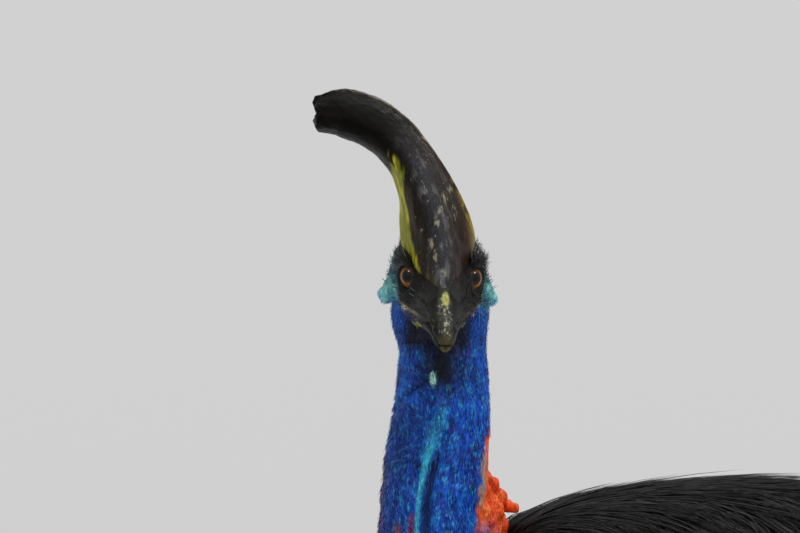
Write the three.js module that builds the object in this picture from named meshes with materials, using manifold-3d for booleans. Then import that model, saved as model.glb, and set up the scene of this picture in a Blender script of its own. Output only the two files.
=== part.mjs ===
// A southern cassowary at life size, standing still with its head turned to its left.
// Millimetres, +Z up. The body lies along X and faces -X, so the bird's left side is towards -Y.
// The origin is on the floor, under the middle of the bird's box.

import * as THREE from "three";
import { mergeVertices } from "three/addons/utils/BufferGeometryUtils.js";
import Module from "manifold-3d";

const wasm = await Module();
wasm.setup();

const GAP = 0.4; // left between two pieces that touch
const SLIVER = 0.14; // surfaces may move this much where slivers are cleared away
const TOUCH = 0.06; // how far sheets that only touch are drawn apart
const RAD = Math.PI / 180;
const DOWN = new THREE.Vector3(0, 0, -1);

// Driving sizes of the bird.
const EYES = new THREE.Vector3(26.3, -54.6, 1101); // midway between the eyes
const HEAD_TURN = 71.8 * RAD; // to the bird's left
const HEAD_NOD = 17.5 * RAD; // bill below level
const HEAD_TILT = -2 * RAD;
const CASQUE_TILT = 3.5 * RAD; // the casque stands a little off the head's middle plane
const HIP_SPREAD = 112; // from the middle plane to each ankle
const STRIDE = { left: -32, right: 30 }; // how far each foot stands ahead (-) or behind
const FEATHER_LINE = 436; // height where the drumstick's feathers end
const TAIL_START = 640; // distance back where the rump plume begins
const PARTING = 450; // radius of the round parting between trunk and rump plume

// Head sections from nape to bill: forward, half width, reach up, reach down.
const SKULL = [
  [-68, 9, 8, 10],
  [-60, 22, 17, 24],
  [-46, 33, 25, 35],
  [-30, 36.5, 29, 39],
  [-14, 35, 28, 39],
  [2, 31, 25, 37],
  [17, 28, 20, 34],
  [32, 21.5, 15.5, 30.5],
  [46, 16.5, 14, 27],
];

// Casque sections from root to tip: left, up, forward, half thickness, reach ahead, reach behind, lift of the front.
const CASQUE = [
  [0, 4, -2, 19, 54, 46, -16],
  [0, 25, -3, 27.6, 51, 49, -11],
  [-3.6, 41, -6, 24.2, 47, 46, -8],
  [-6.7, 55, -9, 21.2, 43, 42, -5],
  [-11.4, 69.5, -12, 17.8, 39, 38, -1],
  [-19, 84.5, -15, 15.4, 35, 34, 2],
  [-30.5, 99, -17, 14.6, 32, 31, 4],
  [-46, 110, -18, 15.2, 29, 28, 5],
  [-63, 116.6, -18, 14.8, 26, 25, 5],
  [-77, 119, -18, 12.4, 21, 20, 4],
  [-86, 119, -18, 7.5, 12, 12, 3],
];

// Bill sections from face to tip: forward, half width, top, bottom.
const UPPER_BILL = [
  [46.4, 16, 15, -12],
  [60, 12.8, 10, -11.6],
  [76, 10.8, 5.6, -11.6],
  [92, 9, 1.4, -12],
  [104, 6.8, -3, -12.8],
  [111, 4.4, -7, -13.8],
  [115, 1.8, -10.8, -15],
];
const LOWER_BILL = [
  [46.4, 15.4, -12.6, -26],
  [60, 12.2, -12.2, -23.6],
  [76, 10, -12.2, -20.6],
  [92, 8, -12.6, -18.8],
  [103, 6, -13.6, -18.6],
  [110, 3, -15, -18.4],
];

// Neck sections from skull to breast: middle x, y, z, half width, reach ahead, reach behind, turn in degrees.
const NECK = [
  [37, -21, 1104, 27, 26, 24, 71.8],
  [40, -17.6, 1079, 34.5, 30, 30, 66],
  [42.5, -16.5, 1051, 30.5, 34, 31, 58],
  [42.6, -15.8, 1012, 33, 35, 33, 36],
  [38.9, -11.3, 965, 34.5, 37, 36, 14],
  [37.5, -7.6, 920, 34, 38, 38, 4],
  [47, -3, 872, 40, 47, 45, 2],
  [80, 0, 822, 56, 60, 58, 0],
  [130, 0, 776, 74, 76, 74, 0],
];
const NECK_CUTS = [1012, 936]; // heights where the neck is parted

// Trunk sections from breast to rump, without the coat: x, middle height, half width, reach up, reach down.
const TRUNK = [
  [4, 792, 16, 15, 20],
  [20, 793, 62, 58, 76],
  [52, 790, 104, 96, 122],
  [108, 782, 142, 140, 158],
  [210, 768, 168, 160, 192],
  [340, 752, 182, 171, 198],
  [480, 742, 176, 163, 182],
  [600, 732, 154, 138, 152],
  [700, 716, 118, 104, 112],
  [768, 694, 66, 64, 66],
  [792, 682, 18, 20, 22],
];

// The coat over the trunk.
const CORE = 3; // depth of its solid core
const COAT = 23; // how far the locks' tips stand off the trunk
const LOCK_WIDE = 34; // half width of a lock
const LOCK_THICK = 3.4;
const LOCK_LONG = 190;
const TIERS = 12; // rings of locks from breast to rump
const TIER_START = 12; // distance back of the first ring
const TIER_END = 784;
const LOCK_STEP = 68; // from one lock to the next around the trunk
const HEM = [[-60, 668], [60, 610], [200, 545], [360, 500], [560, 478], [760, 490], [900, 520]]; // x, height

// Leg sections from hip to ankle to foot joint, in the leg's own plane: x, spread, z, half width, reach ahead, reach behind.
const DRUMSTICK = [
  [284, 16, 690, 60, 80, 78],
  [304, 16, 650, 62, 78, 74],
  [338, 12, 588, 58, 70, 66],
  [385, 7, 506, 42, 51, 47],
  [425, 3, 436, 26, 31, 28],
  [452, 1, 384, 21, 25, 24],
];
const SHANK = [
  [452, 1, 384, 21, 25, 24],
  [470, 0, 344, 24, 26, 31],
  [467, 0, 314, 23, 24, 29],
  [458, -1, 262, 18, 19, 21],
  [449, -2, 196, 17, 18, 19],
  [441, -3, 130, 18, 19, 20],
  [433, -4, 74, 22, 22, 22],
  [428, -4, 42, 27, 25, 27],
  [427, -4, 16, 25, 22, 25],
  [427, -4, -6, 20, 18, 20],
];

// Toes: length, half width, heading outwards in degrees, claw length and claw half width.
const TOES = {
  inner: { long: 66, wide: 15.5, out: -27, claw: 104, clawWide: 9.5, clawDrop: 8 },
  middle: { long: 150, wide: 18, out: 3, claw: 40, clawWide: 8, clawDrop: 7 },
  outer: { long: 100, wide: 15, out: 33, claw: 30, clawWide: 7, clawDrop: 6 },
};

const SHANK_SCUTES = 11;
const TOE_SCUTES = { inner: 3, middle: 5, outer: 4 };

const WING_ROOT = [194, 164, 836]; // x, distance from the middle plane, z
const QUILLS = 5;
const QUILL_LONG = 250;
const WATTLE_LONG = 158;
const NAPE_BULBS = 12;
const NAPE_REACH = [0.47, 0.76]; // share of the neck's length
const NAPE_SIZES = [1, 0.78, 0.92, 0.7, 0.86]; // of one bulb after another

const EYE_BALL = 12.5;
const EYE_OPENING = 9.4;
const EYE_PLACE = [9, 16.4, 5]; // forward, sideways, up
const EYE_AHEAD = 46 * RAD; // angle between each eye's line of sight and the bill

const v = (x, y, z) => new THREE.Vector3(x, y, z);
const blend = THREE.MathUtils.lerp;
const smooth = (x, from, to) => THREE.MathUtils.smoothstep(x, from, to);

// A seeded random number from 0 to 1.
let seed = 20261132;
function chance() {
  seed = (seed * 1664525 + 1013904223) % 4294967296;
  return seed / 4294967296;
}

// A closed geometry as a solid, with its faces turned outwards.
function solid(geometry) {
  const bare = geometry.clone();
  bare.deleteAttribute("normal");
  bare.deleteAttribute("uv");
  const merged = mergeVertices(bare, 1e-3);
  const faces = new Uint32Array(merged.index.array);
  const vertProperties = merged.attributes.position.array;
  const build = () => new wasm.Manifold(new wasm.Mesh({ numProp: 3, vertProperties, triVerts: faces }));
  const made = build();
  if (made.volume() > 0) return made;
  for (let i = 0; i < faces.length; i += 3) {
    [faces[i + 1], faces[i + 2]] = [faces[i + 2], faces[i + 1]];
  }
  return build();
}

const joined = (solids) => solids.reduce((a, b) => a.add(b));
const cutBy = (body, ...others) => others.reduce((a, b) => a.subtract(b), body);

// The largest closed piece of a solid, without the slivers that cuts leave.
function largest(body) {
  return body.decompose().reduce((a, b) => (a.volume() > b.volume() ? a : b)).simplify(SLIVER);
}

// Smooth values between the rows of a table, for t from 0 at the first row to 1 at the last.
function between(rows) {
  const columns = rows[0].map((_, k) => new THREE.SplineCurve(rows.map((row, i) => new THREE.Vector2(i, row[k]))));
  return (t) => columns.map((column) => column.getPoint(THREE.MathUtils.clamp(t, 0, 1)).y);
}

// A closed body swept through sections. place(t) gives each section's centre, its side and top directions, and its
// reach sideways, up and down. shape(a, b, t) bends the round section, and grow thickens the whole body.
function sweep(sides, steps, place, { pointed = false, grow = 0, shape = (a, b) => [a, b] } = {}) {
  const geometry = new THREE.CylinderGeometry(1, pointed ? 0 : 1, 1, sides, steps);
  const points = geometry.attributes.position;
  const at = v(0, 0, 0);
  const ring = new Map();
  for (let i = 0; i < points.count; i++) {
    at.fromBufferAttribute(points, i);
    const t = THREE.MathUtils.clamp(0.5 - at.y, 0, 1);
    const key = t.toFixed(5);
    if (!ring.has(key)) ring.set(key, place(t));
    const { centre, side, top, wide, high, low = high } = ring.get(key);
    const r = Math.hypot(at.x, at.z);
    const [a, b] = r > 1e-6 ? shape(at.x / r, at.z / r, t) : [0, 0];
    const reach = b > 0 ? high : low;
    const end = t < 1e-4 ? -grow : t > 1 - 1e-4 ? grow : 0;
    const along = v(0, 0, 0);
    if (end) along.subVectors(place(Math.min(1, t + 0.01)).centre, place(Math.max(0, t - 0.01)).centre).setLength(1);
    const moved = centre.clone()
      .addScaledVector(side, a * (wide + grow))
      .addScaledVector(top, b * (reach + grow))
      .addScaledVector(along, end);
    points.setXYZ(i, moved.x, moved.y, moved.z);
  }
  return solid(geometry);
}

// A ball stretched to three half sizes, at a place, turned by a matrix.
function ball(place, sizes, turn = new THREE.Matrix4(), round = 12) {
  const geometry = new THREE.SphereGeometry(1, round, Math.ceil(round * 0.6));
  geometry.scale(...sizes);
  geometry.applyMatrix4(turn);
  geometry.translate(place.x, place.y, place.z);
  return solid(geometry);
}

function block(place, sizes) {
  const geometry = new THREE.BoxGeometry(...sizes);
  geometry.translate(place.x, place.y, place.z);
  return solid(geometry);
}

// The head's own frame: forward along the bill, left, and up, from the point between the eyes.
const headFrame = new THREE.Matrix4();
{
  const ahead = v(-Math.cos(HEAD_TURN), -Math.sin(HEAD_TURN), 0);
  const left = v(Math.sin(HEAD_TURN), -Math.cos(HEAD_TURN), 0);
  const bill = ahead.clone().multiplyScalar(Math.cos(HEAD_NOD)).addScaledVector(DOWN, Math.sin(HEAD_NOD));
  left.applyAxisAngle(bill, HEAD_TILT);
  headFrame.makeBasis(bill, left, new THREE.Vector3().crossVectors(bill, left)).setPosition(EYES);
}
const inHead = (f, l, u) => v(f, l, u).applyMatrix4(headFrame);
const headWay = (f, l, u) => v(f, l, u).transformDirection(headFrame);
const headTurn = new THREE.Matrix4().extractRotation(headFrame);
const casqueFrame = headFrame.clone().multiply(new THREE.Matrix4().makeRotationX(CASQUE_TILT));

function skull(grow = 0) {
  const rows = between(SKULL);
  return sweep(18, 10, (t) => {
    const [f, wide, high, low] = rows(t);
    return { centre: inHead(f, 0, 0), side: headWay(0, 1, 0), top: headWay(0, 0, 1), wide, high, low };
  }, { grow });
}

function casque(grow = 0) {
  const rows = between(CASQUE);
  const spine = (t) => rows(t).slice(0, 3);
  return sweep(14, 14, (t) => {
    const [l, u, f, wide, high, low, lift] = rows(t);
    const [l0, u0] = spine(Math.max(0, t - 0.03));
    const [l1, u1] = spine(Math.min(1, t + 0.03));
    const lean = Math.atan2(l1 - l0, u1 - u0);
    const side = v(0, Math.cos(lean), -Math.sin(lean)).transformDirection(casqueFrame);
    const rise = Math.sin(lift * RAD);
    const top = v(Math.cos(lift * RAD), Math.sin(lean) * rise, Math.cos(lean) * rise).transformDirection(casqueFrame);
    return { centre: v(f, l, u).applyMatrix4(casqueFrame), side, top, wide, high, low };
  }, { grow, shape: (a, b, t) => [a * (1 - blend(0.62, 0.12, smooth(t, 0, 0.4)) * Math.max(0, b)), b] });
}

function bill(table, grow = 0, ridge = 0) {
  const rows = between(table);
  return sweep(12, 9, (t) => {
    const [f, wide, top, bottom] = rows(t);
    const half = (top - bottom) / 2;
    return { centre: inHead(f, 0, bottom + half), side: headWay(0, 1, 0), top: headWay(0, 0, 1), wide, high: half };
  }, { grow, shape: (a, b) => [a * (1 - ridge * Math.max(0, b * Math.sign(ridge))), b] });
}

// The eye on one side: its centre and its line of sight.
function eyeLine(hand) {
  const [f, l, u] = EYE_PLACE;
  return { centre: inHead(f, hand * l, u), sight: headWay(Math.cos(EYE_AHEAD), hand * Math.sin(EYE_AHEAD), 0.02) };
}

function eye(hand, grow = 0) {
  const { centre, sight } = eyeLine(hand);
  const turn = new THREE.Matrix4().makeRotationFromQuaternion(new THREE.Quaternion().setFromUnitVectors(v(0, 1, 0), sight));
  const radius = EYE_BALL + grow;
  return ball(centre, [radius, radius, radius], turn, 12);
}

// A ring round a line, such as an eyelid or the rim of an ear.
function ring(centre, axis, radius, thick, around) {
  const geometry = new THREE.TorusGeometry(radius, thick, 4, around);
  geometry.applyQuaternion(new THREE.Quaternion().setFromUnitVectors(v(0, 0, 1), axis));
  geometry.translate(centre.x, centre.y, centre.z);
  return solid(geometry);
}

function rod(from, to, radius, sides = 12) {
  const way = to.clone().sub(from);
  const geometry = new THREE.CylinderGeometry(radius, radius, way.length(), sides);
  geometry.applyQuaternion(new THREE.Quaternion().setFromUnitVectors(v(0, 1, 0), way.clone().normalize()));
  const middle = from.clone().addScaledVector(way, 0.5);
  geometry.translate(middle.x, middle.y, middle.z);
  return solid(geometry);
}

// The head: skull and face with lids, brows, cheeks, the line of the mouth and the ears.
function headNode() {
  let face = skull();
  for (const hand of [-1, 1]) {
    const { centre, sight } = eyeLine(hand);
    const lid = ring(centre.clone().addScaledVector(sight, 8.4), sight, EYE_OPENING + 1.4, 2.4, 13);
    const brow = ball(inHead(2, hand * 24, 16), [17, 7, 5.5], headTurn, 8);
    const cheek = ball(inHead(-24, hand * 33.5, -21), [11, 8.5, 7], headTurn, 8);
    const earAt = inHead(-40, hand * 32, -7);
    const ear = ring(earAt, headWay(-0.35, hand, 0), 5.6, 2.4, 8);
    const sides = cutBy(joined([cheek, ear]), neck(GAP));
    face = joined([face, cutBy(joined([lid, brow]), casque(GAP)), sides]);
  }
  for (const hand of [-1, 1]) {
    const { centre, sight } = eyeLine(hand);
    const opening = rod(centre, centre.clone().addScaledVector(sight, 20), EYE_OPENING, 12);
    const earHole = ball(inHead(-41, hand * 34.5, -7), [4, 5.5, 4], headTurn, 6);
    const gape = rod(inHead(52, hand * 15, -12), inHead(15, hand * 29.5, -14), 1.9, 5);
    face = cutBy(face, eye(hand, GAP), opening, earHole, gape);
  }
  return largest(face);
}

function upperBillNode() {
  let made = bill(UPPER_BILL, 0, 0.42);
  for (const hand of [-1, 1]) {
    made = cutBy(made, ball(inHead(87, hand * 10.4, -5.4), [8, 2.6, 2.2], headTurn, 8));
  }
  return largest(cutBy(made, casque(GAP), skull(GAP)));
}

const lowerBillNode = () => largest(cutBy(bill(LOWER_BILL, 0, -0.3), skull(GAP), bill(UPPER_BILL, GAP, 0.42)));

// The neck twists from the head's heading to the body's.
const neckRows = between(NECK);
function neckPlace(t) {
  const [x, y, z, wide, high, low, turn] = neckRows(t);
  const ahead = v(-Math.cos(turn * RAD), -Math.sin(turn * RAD), 0);
  const a = neckRows(Math.max(0, t - 0.02));
  const b = neckRows(Math.min(1, t + 0.02));
  const along = v(b[0] - a[0], b[1] - a[1], b[2] - a[2]).normalize();
  const top = ahead.addScaledVector(along, -ahead.dot(along)).normalize();
  return { centre: v(x, y, z), side: new THREE.Vector3().crossVectors(along, top), top, wide, high, low };
}

// A soft fold runs down the left of the throat.
function neck(grow = 0) {
  return sweep(15, 17, neckPlace, {
    grow,
    shape: (a, b, t) => {
      const off = Math.atan2(a, b) - blend(1.15, 0.75, smooth(t, 0.4, 0.75));
      const fold = 0.11 * Math.exp(-Math.pow(off / 0.24, 2)) * smooth(t, 0.36, 0.55) * (1 - smooth(t, 0.8, 0.95));
      return [a * (1 + fold), b * (1 + fold)];
    },
  });
}

// The trunk's section at a distance x from the breast.
const trunkRows = between(TRUNK);
const trunkSteps = Array.from({ length: 121 }, (_, i) => trunkRows(i / 120));
function trunkAt(x) {
  const next = THREE.MathUtils.clamp(trunkSteps.findIndex((row) => row[0] >= x), 1, 120);
  const [a, b] = [trunkSteps[next - 1], trunkSteps[next]];
  const share = THREE.MathUtils.clamp((x - a[0]) / (b[0] - a[0]), 0, 1);
  return a.map((value, k) => blend(value, b[k], share));
}

function trunk(grow = 0) {
  return sweep(18, 13, (t) => {
    const [x, z, wide, high, low] = trunkRows(t);
    return { centre: v(x, 0, z), side: v(0, 1, 0), top: v(0, 0, 1), wide, high, low };
  }, { grow });
}

// How far out a point lies: 1 on the trunk's surface.
function outness(point) {
  const [, z, wide, high, low] = trunkAt(point.x);
  const up = point.z - z;
  return Math.hypot(point.y / wide, up / (up > 0 ? high : low));
}

function outwards(point) {
  const step = 4;
  const slope = ["x", "y", "z"].map((axis) => {
    const ahead = point.clone();
    const behind = point.clone();
    ahead[axis] += step;
    behind[axis] -= step;
    return outness(ahead) - outness(behind);
  });
  return v(...slope).normalize();
}

const hemAt = (x) => {
  const next = Math.max(1, HEM.findIndex(([at]) => at >= x));
  const [a, b] = [HEM[next - 1], HEM[next]];
  return blend(a[1], b[1], (x - a[0]) / (b[0] - a[0]));
};

// A flat, tapered lock along a line of points. outer(point) is the way its face looks.
function lock(line, wide, thick, outer, grow = 0) {
  const curve = new THREE.CatmullRomCurve3(line);
  return sweep(3, line.length - 1, (t) => {
    const centre = curve.getPoint(t);
    const along = curve.getTangent(t);
    const top = outer(centre);
    top.addScaledVector(along, -top.dot(along)).normalize();
    const side = new THREE.Vector3().crossVectors(along, top);
    const swell = blend(0.62, 1, smooth(t, 0, 0.3)) * blend(1, 0.5, smooth(t, 0.5, 1));
    return { centre, side, top, wide: wide * swell, high: thick * blend(1, 0.55, t), low: thick * 0.9 };
  }, { pointed: true, grow });
}

// The line of a lock that starts on the trunk at x, an angle from the spine, lies back and down, and hangs free
// once it is past the widest place.
function drape(x, angle, long, sway, layer = 0) {
  const [, z, wide, high, low] = trunkAt(x);
  const steps = 4;
  const strides = [0.1, 0.28, 0.31, 0.31].map((share) => share * long);
  const point = v(x, Math.sin(angle) * (wide - 7), z + Math.cos(angle) * ((Math.cos(angle) > 0 ? high : low) - 7));
  const line = [point.clone()];
  // Where the breast faces forwards, a point is brought out ahead of it, and elsewhere straight out from its middle.
  const settle = (lift) => {
    const section = trunkAt(point.x);
    const target = 1 + lift / section[2];
    const now = outness(point);
    if (now >= target || point.x <= TRUNK[0][0] || point.x >= TRUNK[TRUNK.length - 1][0]) return;
    const ahead = point.clone();
    while (ahead.x > TRUNK[0][0] && outness(ahead) < 1) ahead.x -= 2;
    const radial = (target / now - 1) * Math.hypot(point.y, point.z - section[1]);
    if (point.x - ahead.x + lift < radial) {
      point.x = ahead.x - lift;
    } else {
      point.y *= target / now;
      point.z = section[1] + ((point.z - section[1]) * target) / now;
    }
  };
  for (let i = 1; i <= steps; i++) {
    const fall = smooth(Math.abs(Math.atan2(point.y, point.z - trunkAt(point.x)[1])), 0.1, 1.25);
    const chest = 1 - smooth(point.x, 20, 150);
    const rump = smooth(point.x, 560, 780);
    const back = blend(1, 0.34, Math.max(fall, chest)) * blend(1, 0.4, rump);
    const down = blend(0.12, 1, Math.max(fall, 0.8 * chest, 0.9 * rump));
    point.add(v(back, sway, -down).normalize().multiplyScalar(strides[i - 1]));
    settle(blend(6, COAT, (i - 1) / (steps - 1)) + layer);
    line.push(point.clone());
  }
  return line;
}

// The trunk's coat: tiers of locks from the breast to the rump, each tier set between the locks of the last.
function coatLocks() {
  const locks = [];
  for (let tier = 0; tier < TIERS; tier++) {
    const share = (1 - Math.cos((Math.PI * tier) / (TIERS - 1))) / 2;
    const x = blend(TIER_START, TIER_END, blend(tier / (TIERS - 1), share, 0.75));
    const [, , wide, high, low] = trunkAt(x);
    const girth = Math.PI * (wide + (high + low) / 2);
    const reach = 142 * RAD;
    const count = Math.max(3, Math.round((girth * reach) / Math.PI / LOCK_STEP));
    for (let i = 0; i < count; i++) {
      const angle = -reach + (2 * reach * (i + (tier % 2 ? 0.25 : 0.75))) / count + 0.06 * (chance() - 0.5);
      const at = x + 24 * (chance() - 0.5);
      const root = drape(at, angle, 10, 0)[0];
      const inNeck = Math.hypot((root.x - 52) / 52, root.y / 46) < 1 && root.z > 840;
      const drop = root.z - hemAt(at + 40);
      const steep = smooth(Math.abs(angle), 0.9, 1.8);
      const stub = smooth(x, 690, TIER_END) * (1 - smooth(Math.abs(angle), 0.5, 1.6));
      const grown = LOCK_LONG * blend(0.86, 1.14, chance()) * blend(1, 0.4, stub);
      const long = Math.min(grown, blend(999, drop + 14 * chance(), steep));
      const size = LOCK_WIDE * blend(0.86, 1.12, chance()) * smooth(long, 10, 130);
      const sway = 0.16 * (chance() - 0.5);
      const layer = i % 2 ? 3 : 0;
      if (!inNeck && long > 58) locks.push(lock(drape(at, angle, long, sway, layer), size, LOCK_THICK, outwards));
    }
  }
  return locks;
}

// One leg. hand is -1 for the bird's left leg and 1 for its right.
const handOf = { left: -1, right: 1 };
const ankleSpread = (hand, spread) => hand * (HIP_SPREAD + spread);

function legPlace(table, which) {
  const rows = between(table);
  const hand = handOf[which];
  return (t) => {
    const [x, spread, z, wide, high, low] = rows(t);
    const a = rows(Math.max(0, t - 0.02));
    const b = rows(Math.min(1, t + 0.02));
    const stride = STRIDE[which] * (1 - smooth(z, 40, 660));
    const along = v(b[0] - a[0], 0, b[2] - a[2]).normalize();
    const top = v(along.z, 0, -along.x);
    if (top.x > 0) top.negate();
    return { centre: v(x + stride, ankleSpread(hand, spread), z), side: v(0, 1, 0), top, wide, high, low };
  };
}

// Sections for plates that overlap downwards: each starts flush and ends raised, just above the next one's start.
const plated = (count) => ({
  place: (t) => {
    const k = Math.round(t * 2 * count);
    return Math.min(1, (Math.floor(k / 2) + (k % 2) * 0.8) / count);
  },
  raised: (t) => Math.round(t * 2 * count) % 2,
});

const drumstick = (which, grow = 0) => sweep(10, 5, legPlace(DRUMSTICK, which), { grow });

function shank(which, grow = 0) {
  const place = legPlace(SHANK, which);
  const scutes = plated(SHANK_SCUTES);
  return sweep(10, 2 * SHANK_SCUTES, (t) => place(scutes.place(t)), {
    grow,
    shape: (a, b, t) => {
      const bulge = 1 + scutes.raised(t) * 0.09 * Math.max(0, b);
      return [a * bulge, b * bulge];
    },
  });
}

// The short feathers on a drumstick, in tiers that lie down the leg.
function drumstickLocks(which, grow = 0) {
  const place = legPlace(DRUMSTICK, which);
  const locks = [];
  const around = 5;
  for (let tier = 0; tier < 2; tier++) {
    for (let i = 0; i < around; i++) {
      const angle = ((i + 0.5 * (tier % 2)) / around) * 2 * Math.PI;
      const from = 0.46 + 0.15 * tier;
      const skin = (share) => {
        const { centre, side, top, wide, high, low } = place(from + 0.29 * share);
        const lift = blend(-5, 10, share);
        return centre.clone()
          .addScaledVector(side, Math.sin(angle) * (wide + lift))
          .addScaledVector(top, Math.cos(angle) * ((Math.cos(angle) > 0 ? high : low) + lift));
      };
      const { side, top } = place(from + 0.15);
      const outer = () => side.clone().multiplyScalar(Math.sin(angle)).addScaledVector(top, Math.cos(angle));
      const line = [0, 0.33, 0.67, 1].map(skin);
      locks.push(lock(line, blend(25, 18, tier), 3.2, outer, grow));
    }
  }
  return locks;
}
const floorBlock = block(v(400, 0, -50), [1600, 1200, 100]);

// A toe from the foot joint outwards, flat under its pads.
function toePlace(which, name) {
  const hand = handOf[which];
  const { long, wide, out } = TOES[name];
  const heading = v(-Math.cos(out * RAD), hand * Math.sin(out * RAD), 0);
  const side = v(-heading.y, heading.x, 0);
  const root = v(427 + STRIDE[which], ankleSpread(hand, -4), 0);
  return (t) => {
    const s = blend(6, long + 6, t);
    const taper = 1 - 0.34 * t;
    const pad = 1 + 0.07 * Math.cos(t * Math.PI * 6);
    const close = Math.sqrt(Math.max(0.12, 1 - Math.pow(Math.max(0, t - 0.8) / 0.2, 2)));
    const half = wide * taper * pad * close;
    const z = blend(22, 12.5, smooth(t, 0, 0.8)) - 1.5 * (1 - close);
    return { centre: root.clone().addScaledVector(heading, s).setZ(z), side, top: v(0, 0, 1), wide: half, high: half * 0.98, low: half * 1.1 };
  };
}

function toe(which, name, grow = 0) {
  const place = toePlace(which, name);
  const scutes = plated(TOE_SCUTES[name]);
  return sweep(8, 2 * TOE_SCUTES[name], (t) => place(scutes.place(t)), {
    grow,
    shape: (a, b, t) => [a, b * (1 + scutes.raised(t) * 0.1 * Math.max(0, b))],
  });
}

function claw(which, name, grow = 0) {
  const { long, claw: clawLong, clawWide, clawDrop } = TOES[name];
  const place = toePlace(which, name);
  const from = place(1).centre;
  const heading = from.clone().sub(place(0.5).centre).setZ(0).normalize();
  const start = from.clone().addScaledVector(heading, -9).setZ(14);
  const side = v(-heading.y, heading.x, 0);
  return sweep(7, 4, (t) => {
    const size = clawWide * (1 - 0.9 * Math.pow(t, 1.35)) + 0.4;
    const centre = start.clone().addScaledVector(heading, t * (clawLong + 9));
    centre.z -= clawDrop * t * t - 2.5 * Math.sin(Math.PI * t);
    return { centre, side, top: v(0, 0, 1), wide: size * 0.86, high: size };
  }, { grow });
}

// The wattles: two soft tongues that hang from the throat.
function wattle(which, grow = 0) {
  const hand = handOf[which];
  return sweep(9, 13, (t) => {
    const fall = Math.pow(t, 0.9);
    const centre = v(blend(0, -37, smooth(t, 0, 0.34)), hand * blend(11, 22, smooth(t, 0, 0.5)), 892 - WATTLE_LONG * fall);
    centre.x += 5 * smooth(t, 0.6, 1);
    const body = Math.sin(Math.PI * Math.min(1, 0.28 + 0.72 * Math.pow(t, 0.8)));
    const fold = 1 + 0.07 * Math.sin(t * 24 + hand);
    const wide = (4 + 15 * body) * fold;
    return { centre, side: v(0.25 * hand, 1, 0).normalize(), top: v(-1, 0.25 * hand, 0).normalize(), wide, high: 2.5 + 5 * body * fold };
  }, { grow });
}

// The caruncles on the lower nape: a ridge of bare skin with a crowd of bulbs that grow downwards.
const napeGrowth = (share) => 3 + 9.5 * smooth(share, 0.2, 0.62) - 4 * smooth(share, 0.72, 1);

function napeRidge(fullness, beyond = 0) {
  const [from, to] = NAPE_REACH;
  return sweep(8, 5, (t) => {
    const at = neckPlace(blend(from, to + beyond, t));
    const size = napeGrowth(t) * fullness;
    const centre = at.centre.clone().addScaledVector(at.top, -at.low);
    return { centre, side: at.side, top: at.top, wide: size * 2.1, high: size };
  });
}

function nape() {
  const bulbs = Array.from({ length: NAPE_BULBS }, (_, i) => {
    const share = (i + 0.5) / NAPE_BULBS;
    const at = neckPlace(blend(...NAPE_REACH, share));
    const size = napeGrowth(share) * NAPE_SIZES[i % NAPE_SIZES.length];
    const angle = ((i % 3) - 1) * 0.42 * smooth(share, 0, 0.4);
    const centre = at.centre.clone()
      .addScaledVector(at.top, -Math.cos(angle) * (at.low + size * 0.7))
      .addScaledVector(at.side, Math.sin(angle) * (at.wide + size * 0.7));
    return ball(centre, [size, size, size * 1.15], new THREE.Matrix4(), 6);
  });
  return joined([napeRidge(0.7), ...bulbs]);
}

// A wing: a small stub that swells the coat, and its bare quills, which curve down over the flank.
function wingStub(which, grow = 0) {
  const [x, y, z] = WING_ROOT;
  return ball(v(x, handOf[which] * y, z), [34 + grow, 24 + grow, 18 + grow], new THREE.Matrix4(), 7);
}

function wing(which) {
  const hand = handOf[which];
  const [x, y, z] = WING_ROOT;
  const quills = Array.from({ length: QUILLS }, (_, i) => {
    const share = i / (QUILLS - 1);
    const long = QUILL_LONG * blend(1, 0.86, share);
    return sweep(4, 5, (t) => {
      const back = 6 * i + long * (0.28 + 0.12 * share) * t + 10 * Math.sin(Math.PI * t);
      const out = 17 + 34 * Math.pow(t, 0.7);
      const down = 4 - 3 * share + long * (0.86 * t * t + 0.1 * t);
      const radius = blend(3, 0.8, t);
      const centre = v(x + back, hand * (y + out), z - down);
      return { centre, side: v(0, 1, 0), top: v(0.9, 0, 0.4).normalize(), wide: radius, high: radius };
    });
  });
  return joined([wingStub(which), ...quills]);
}

// Finishes: colour and roughness.
const HORN = [0x2b2a26, 0.35];
const BILL = [0x25241f, 0.4];
const FACE = [0x1d3a44, 0.6];
const EYE = [0x5a2c0c, 0.1];
const BLUE = [0x0b4fb4, 0.55];
const RED = [0xc8401f, 0.5];
const PLUME = [0x0d0c0b, 0.6];
const SCALE = [0x5b574a, 0.6];
const CLAW = [0x1e1c19, 0.4];

const parts = new Map();
const add = (name, body, finish) => parts.set(name, [body, finish]);

add("casque", largest(cutBy(casque(), skull(GAP), eye(1, GAP), eye(-1, GAP))), HORN);
add("head", headNode(), FACE);
add("bill_upper", upperBillNode(), BILL);
add("bill_lower", lowerBillNode(), BILL);
add("eye_left", eye(1), EYE);
add("eye_right", eye(-1), EYE);

const slabs = NECK_CUTS.map((z) => block(v(40, 0, z), [400, 400, GAP]));
const neckWhole = cutBy(neck(), skull(GAP), trunk(GAP), ...slabs);
const neckParts = neckWhole.decompose().filter((piece) => piece.volume() > 1000);
neckParts.sort((a, b) => b.boundingBox().max[2] - a.boundingBox().max[2]);
["neck_upper", "neck_middle", "neck_lower"].forEach((name, i) => add(name, neckParts[i], BLUE));
add("nape_caruncles", largest(cutBy(nape(), neck(GAP))), RED);
for (const which of ["left", "right"]) {
  const otherSide = block(v(0, -handOf[which] * (100 - GAP / 2), 800), [300, 200, 400]);
  add("wattle_" + which, largest(cutBy(wattle(which), neck(GAP), otherSide)), RED);
}

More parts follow.
